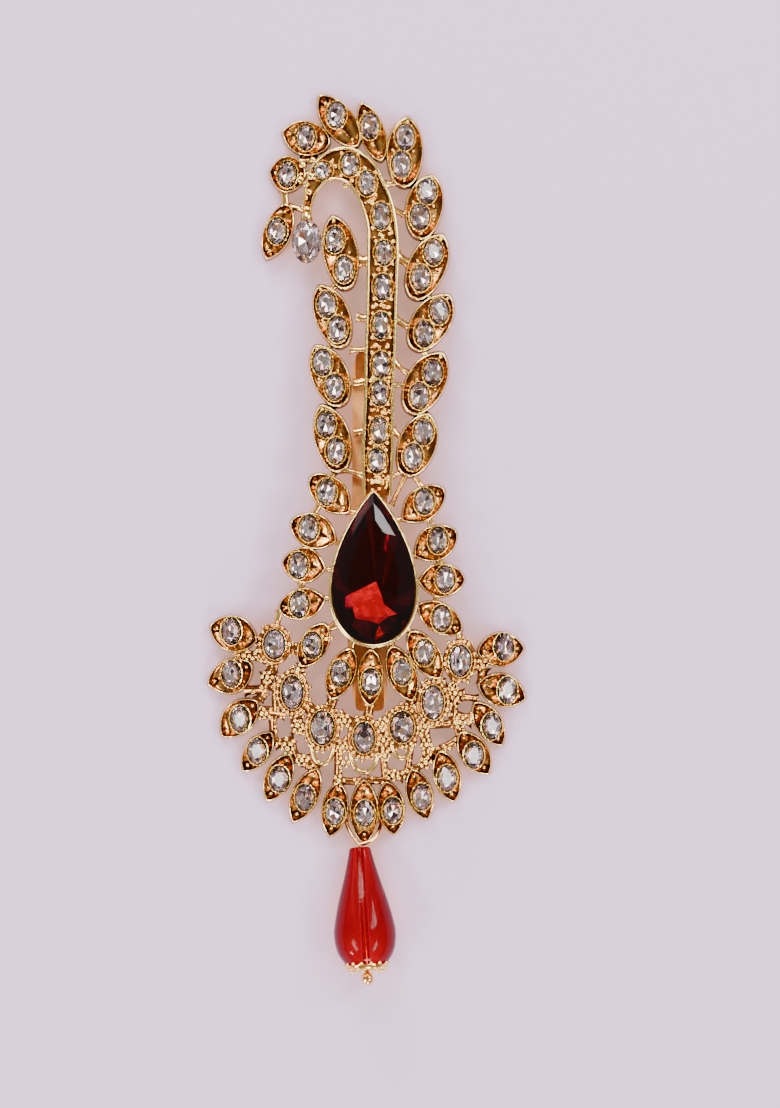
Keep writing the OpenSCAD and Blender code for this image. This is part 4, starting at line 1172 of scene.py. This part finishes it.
def back_fittings(shell):
    around = circle(PAD_POINTS, 0.5)
    square = np.sign(around) * np.abs(around) ** PAD_POWER
    for y, thickness in PAD_ROWS:
        rings = []
        for half, z in ((PAD_HALF - PAD_BEVEL, 0.0), (PAD_HALF, PAD_BEVEL), (PAD_HALF, thickness)):
            rings.append(level((PAD_X, y) + square * half, PAD_FOOT + z))
        shell.rings(rings, wear=0.5)
    rings = []
    for y, z in circle(EYE_POINTS):
        out = np.array([0.0, y, z])
        wire = circle(EYE_SIDES) @ [out, (1.0, 0.0, 0.0)]
        rings.append(EYE_AT + EYE_R * out + EYE_WIRE_R * wire)
    shell.rings(rings, wear=0.5, ends="loop")


cast_piece("crest_cap", crest_cap, GOLD, WALL_CREASE)
cast_piece("pin_pads_and_eye", back_fittings, GOLD, CUP_CREASE)


# Bead, cap and head pin


def bead_frame(points):
    """From the bead's own axes, z along it from its upper end, to the row frame."""
    lean = Matrix.Rotation(math.radians(90 - BEAD_LEAN), 3, "X")
    slew = Matrix.Rotation(math.radians(BEAD_SLEW), 3, "Z")
    return np.asarray(points, float) @ np.array(slew @ lean).T + BEAD_TOP


def lathe(shell, rows, n, **skin):
    """A turned shape on the bead's axis. Each row is a radius and a distance along the axis."""
    rings = [level(circle(n) * r, z) for r, z in rows]
    shell.rings(bead_frame(rings), **skin)


BEAD_POINTS = 72
BEAD_STEPS = 5
BEAD_BEVEL = 0.15
# How fast the bead's painted highlight falls from its top line to its sides, and how fast and how far a
# faint painted glow rises under them
BEAD_HIGHLIGHT_FALL = 2.4
BEAD_UNDERGLOW_RISE = 3.0
BEAD_UNDERGLOW = 0.16


def bead(shell):
    rows = smooth_rows(BEAD_ROWS, BEAD_STEPS)
    profile = [(r * BEAD_D / 2, z * BEAD_L) for z, r in rows]
    profile = [(BEAD_HOLE_D / 2, 0.0), (profile[0][0] - BEAD_BEVEL, 0.0)] + profile[1:]
    profile += [(BEAD_HOLE_D / 2, BEAD_L)]
    height = circle(BEAD_POINTS)[:, 1]
    # Painted light: bright along the top line, painted shade at the sides, a faint painted glow underneath
    above = np.clip(height, 0.0, 1.0) ** BEAD_HIGHLIGHT_FALL
    below = BEAD_UNDERGLOW * np.clip(-BEAD_UNDERGLOW_RISE * height, 0.0, 1.0)
    lathe(shell, profile, BEAD_POINTS, ends="loop", section=above + below)


PIN_STEPS = 4
PIN_SIDES = 14
# Straight part of the pin along the bead's axis, and the middle of the ball at its end
PIN_SPAN = (-0.5, BEAD_L + 0.6)
PIN_BALL_AT = 18.3


def head_pin(shell):
    loop = smooth_rows(LOOP_PATH + LOOP_PATH[:1], PIN_STEPS)[:-1]
    tube(shell, loop, WIRE_D / 2, PIN_SIDES, wear=0.9, closed=True)
    lathe(shell, [(WIRE_D / 2, z) for z in PIN_SPAN], PIN_SIDES, wear=0.8)
    shell.ball(bead_frame([0, 0, PIN_BALL_AT]), radius=0.95, wear=0.7)


# Section of the cap that hugs the bead's lower end. Columns: radius, distance past the bead's end.
CAP_SECTION = [
    [0.55, 0.12], [1.6, 0.1], [2.3, 0.1], [2.6, -0.05], [2.85, -0.42], [2.98, -0.42], [2.85, 0.1],
    [2.4, 0.36], [1.6, 0.44], [0.55, 0.48],
]
CAP_LOBES = 14
LOBE_POINTS = 6
LOBE_DEPTH = 0.14
# Balls on the cap. Columns: distance from the axis, distance past the bead's end, radius, turn in lobes.
CAP_BALLS = [[2.95, -0.55, 0.26, 0.0], [2.72, 0.16, 0.2, 0.5], [2.1, 0.42, 0.22, 0.0]]


def bead_cap(shell):
    """A scalloped cap with a beaded edge and two more rows of balls."""
    around = circle(CAP_LOBES * LOBE_POINTS)
    wave = LOBE_DEPTH * np.tile(circle(LOBE_POINTS)[:, 0], CAP_LOBES)
    rings = [level(around * r, BEAD_L + z - wave * (z < 0)) for r, z in CAP_SECTION]
    shell.rings(bead_frame(rings), wear=0.6, ends="loop")
    for r, z, size, turn in CAP_BALLS:
        for place in bead_frame(level(circle(CAP_LOBES, turn) * r, BEAD_L + z)):
            shell.ball(place, size, 1.0)


make_piece("teardrop_bead", bead, [BEAD_GLASS], ["drop_bead"], "red_bead_glass", WALL_CREASE)
make_piece("scalloped_cap", bead_cap, [GRAIN_GOLD], ["bead_cap"], "gold_plate", WALL_CREASE)
make_piece("head_pin_wire", head_pin, [BALL_GOLD], ["head_pin"], "gold_plate", WALL_CREASE)
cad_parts["back_pin"].data.materials.clear()
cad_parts["back_pin"].data.materials.append(BACK_GOLD)


# Floor, lights and camera

FLOOR_SIDE = 3.0
# Painted shade and painted warm bounce light on the floor, by how open it is: under the gold and in its
# gaps the floor is darker and warm
FLOOR_PAINTED_SHADE_STOPS = [(0.3, (0.5, 0.14, 0.06)), (0.72, (0.52, 0.38, 0.68))]
FLOOR_PAINTED_SHADE_REACH = 0.009
# Colour of the floor's faint glow, a painted warm fill light in its shadows
FLOOR_PAINTED_FILL_GLOW = (1.0, 0.62, 0.45, 1)
CARD_SIDE = 0.34
CARD_Z = 0.66
CARD_COLOUR = (0.20, 0.10, 0.06, 1)


def floor():
    bpy.ops.mesh.primitive_plane_add(size=FLOOR_SIDE, location=(0, 0, 0))
    plane = bpy.context.object
    plane.name = "floor"
    material, tree, shader = new_material("floor_paper")
    # Painted shade: where the gold shelters the floor, its colour turns darker and warm
    painted_shade_occlusion = tree.nodes.new("ShaderNodeAmbientOcclusion")
    painted_shade_occlusion.samples = 4
    settings(painted_shade_occlusion, {"Distance": FLOOR_PAINTED_SHADE_REACH})
    tree.links.new(ramp(tree, painted_shade_occlusion.outputs["AO"], FLOOR_PAINTED_SHADE_STOPS), shader.inputs["Base Color"])
    # The floor glows faintly, a painted warm fill light
    settings(shader, {"Roughness": 0.8, "Emission Color": FLOOR_PAINTED_FILL_GLOW, "Emission Strength": 0.55})
    plane.data.materials.append(material)


def dark_card():
    """A dark card over the camera, which level metal mirrors as brown."""
    bpy.ops.mesh.primitive_plane_add(size=CARD_SIDE, location=(0, 0, CARD_Z))
    card = bpy.context.object
    card.name = "dark_card"
    material, _, shader = new_material("card_cloth")
    settings(shader, {"Base Color": CARD_COLOUR, "Roughness": 0.9})
    card.data.materials.append(material)


def area_light(name, place, width, length, radiance, colour):
    """A soft panel that faces the object; radiance is how bright its surface looks."""
    light = bpy.data.lights.new(name, "AREA")
    light.shape = "RECTANGLE"
    light.size, light.size_y = width, length
    light.energy = radiance * width * length * math.pi
    light.color = colour
    obj = add_object(name, light, place)
    obj.rotation_euler = (-Vector(place)).to_track_quat("-Z", "Y").to_euler()


# Height over the floor that shows at the photograph's scale, and the nearest distance seen, in metres
CAMERA_PLANE = 0.002
CAMERA_NEAR = 0.01


def camera():
    """A camera over the middle of the photograph."""
    x = (PHOTO_W / 2 - PHOTO_ORIGIN[0]) * PX_MM * MM
    y = (PHOTO_ORIGIN[1] - PHOTO_H / 2) * PX_MM * MM
    data = bpy.data.cameras.new("camera")
    data.lens = LENS_MM
    data.sensor_width = SENSOR_MM
    data.clip_start = CAMERA_NEAR
    z = PHOTO_H * PX_MM * MM * LENS_MM / SENSOR_MM + CAMERA_PLANE
    bpy.context.scene.camera = add_object("camera", data, (x, y, z))


floor()
dark_card()
# Lights. Columns: name, place in metres, width, length, brightness, colour.
LIGHT_ROWS = [
    ["window", (0.34, 0.255, 0.425), 0.13, 0.32, 21.0, (1.0, 0.98, 0.96)],
    ["head_panel", (-0.07, 0.42, 0.42), 0.28, 0.1, 25.0, (1.0, 0.97, 0.95)],
    ["heart_panel", (0.0, -0.31, 0.51), 0.16, 0.12, 0.52, (1.0, 0.97, 0.95)],
    ["low_left_panel", (-0.35, -0.24, 0.42), 0.28, 0.1, 25.0, (1.0, 0.97, 0.95)],
    ["low_right_panel", (0.35, -0.24, 0.42), 0.28, 0.1, 25.0, (1.0, 0.97, 0.95)],
    ["head_lamp", (-0.14, 0.52, 0.24), 0.16, 0.10, 44.0, (1.0, 0.97, 0.94)],
    ["upper_left_panel", (-0.43, 0.36, 0.20), 0.2, 0.14, 1.6, (1.0, 0.95, 0.95)],
    ["foot_lamp", (0.06, -0.55, 0.20), 0.16, 0.10, 44.0, (1.0, 0.96, 0.92)],
    ["low_left_lamp", (-0.40, -0.40, 0.20), 0.12, 0.08, 44.0, (1.0, 0.97, 0.94)],
]
for row in LIGHT_ROWS:
    area_light(*row)
camera()
world = bpy.data.worlds.new("studio")
world.use_nodes = True
settings(world.node_tree.nodes["Background"], {"Color": (0.80, 0.77, 0.75, 1), "Strength": 0.46})
bpy.context.scene.world = world
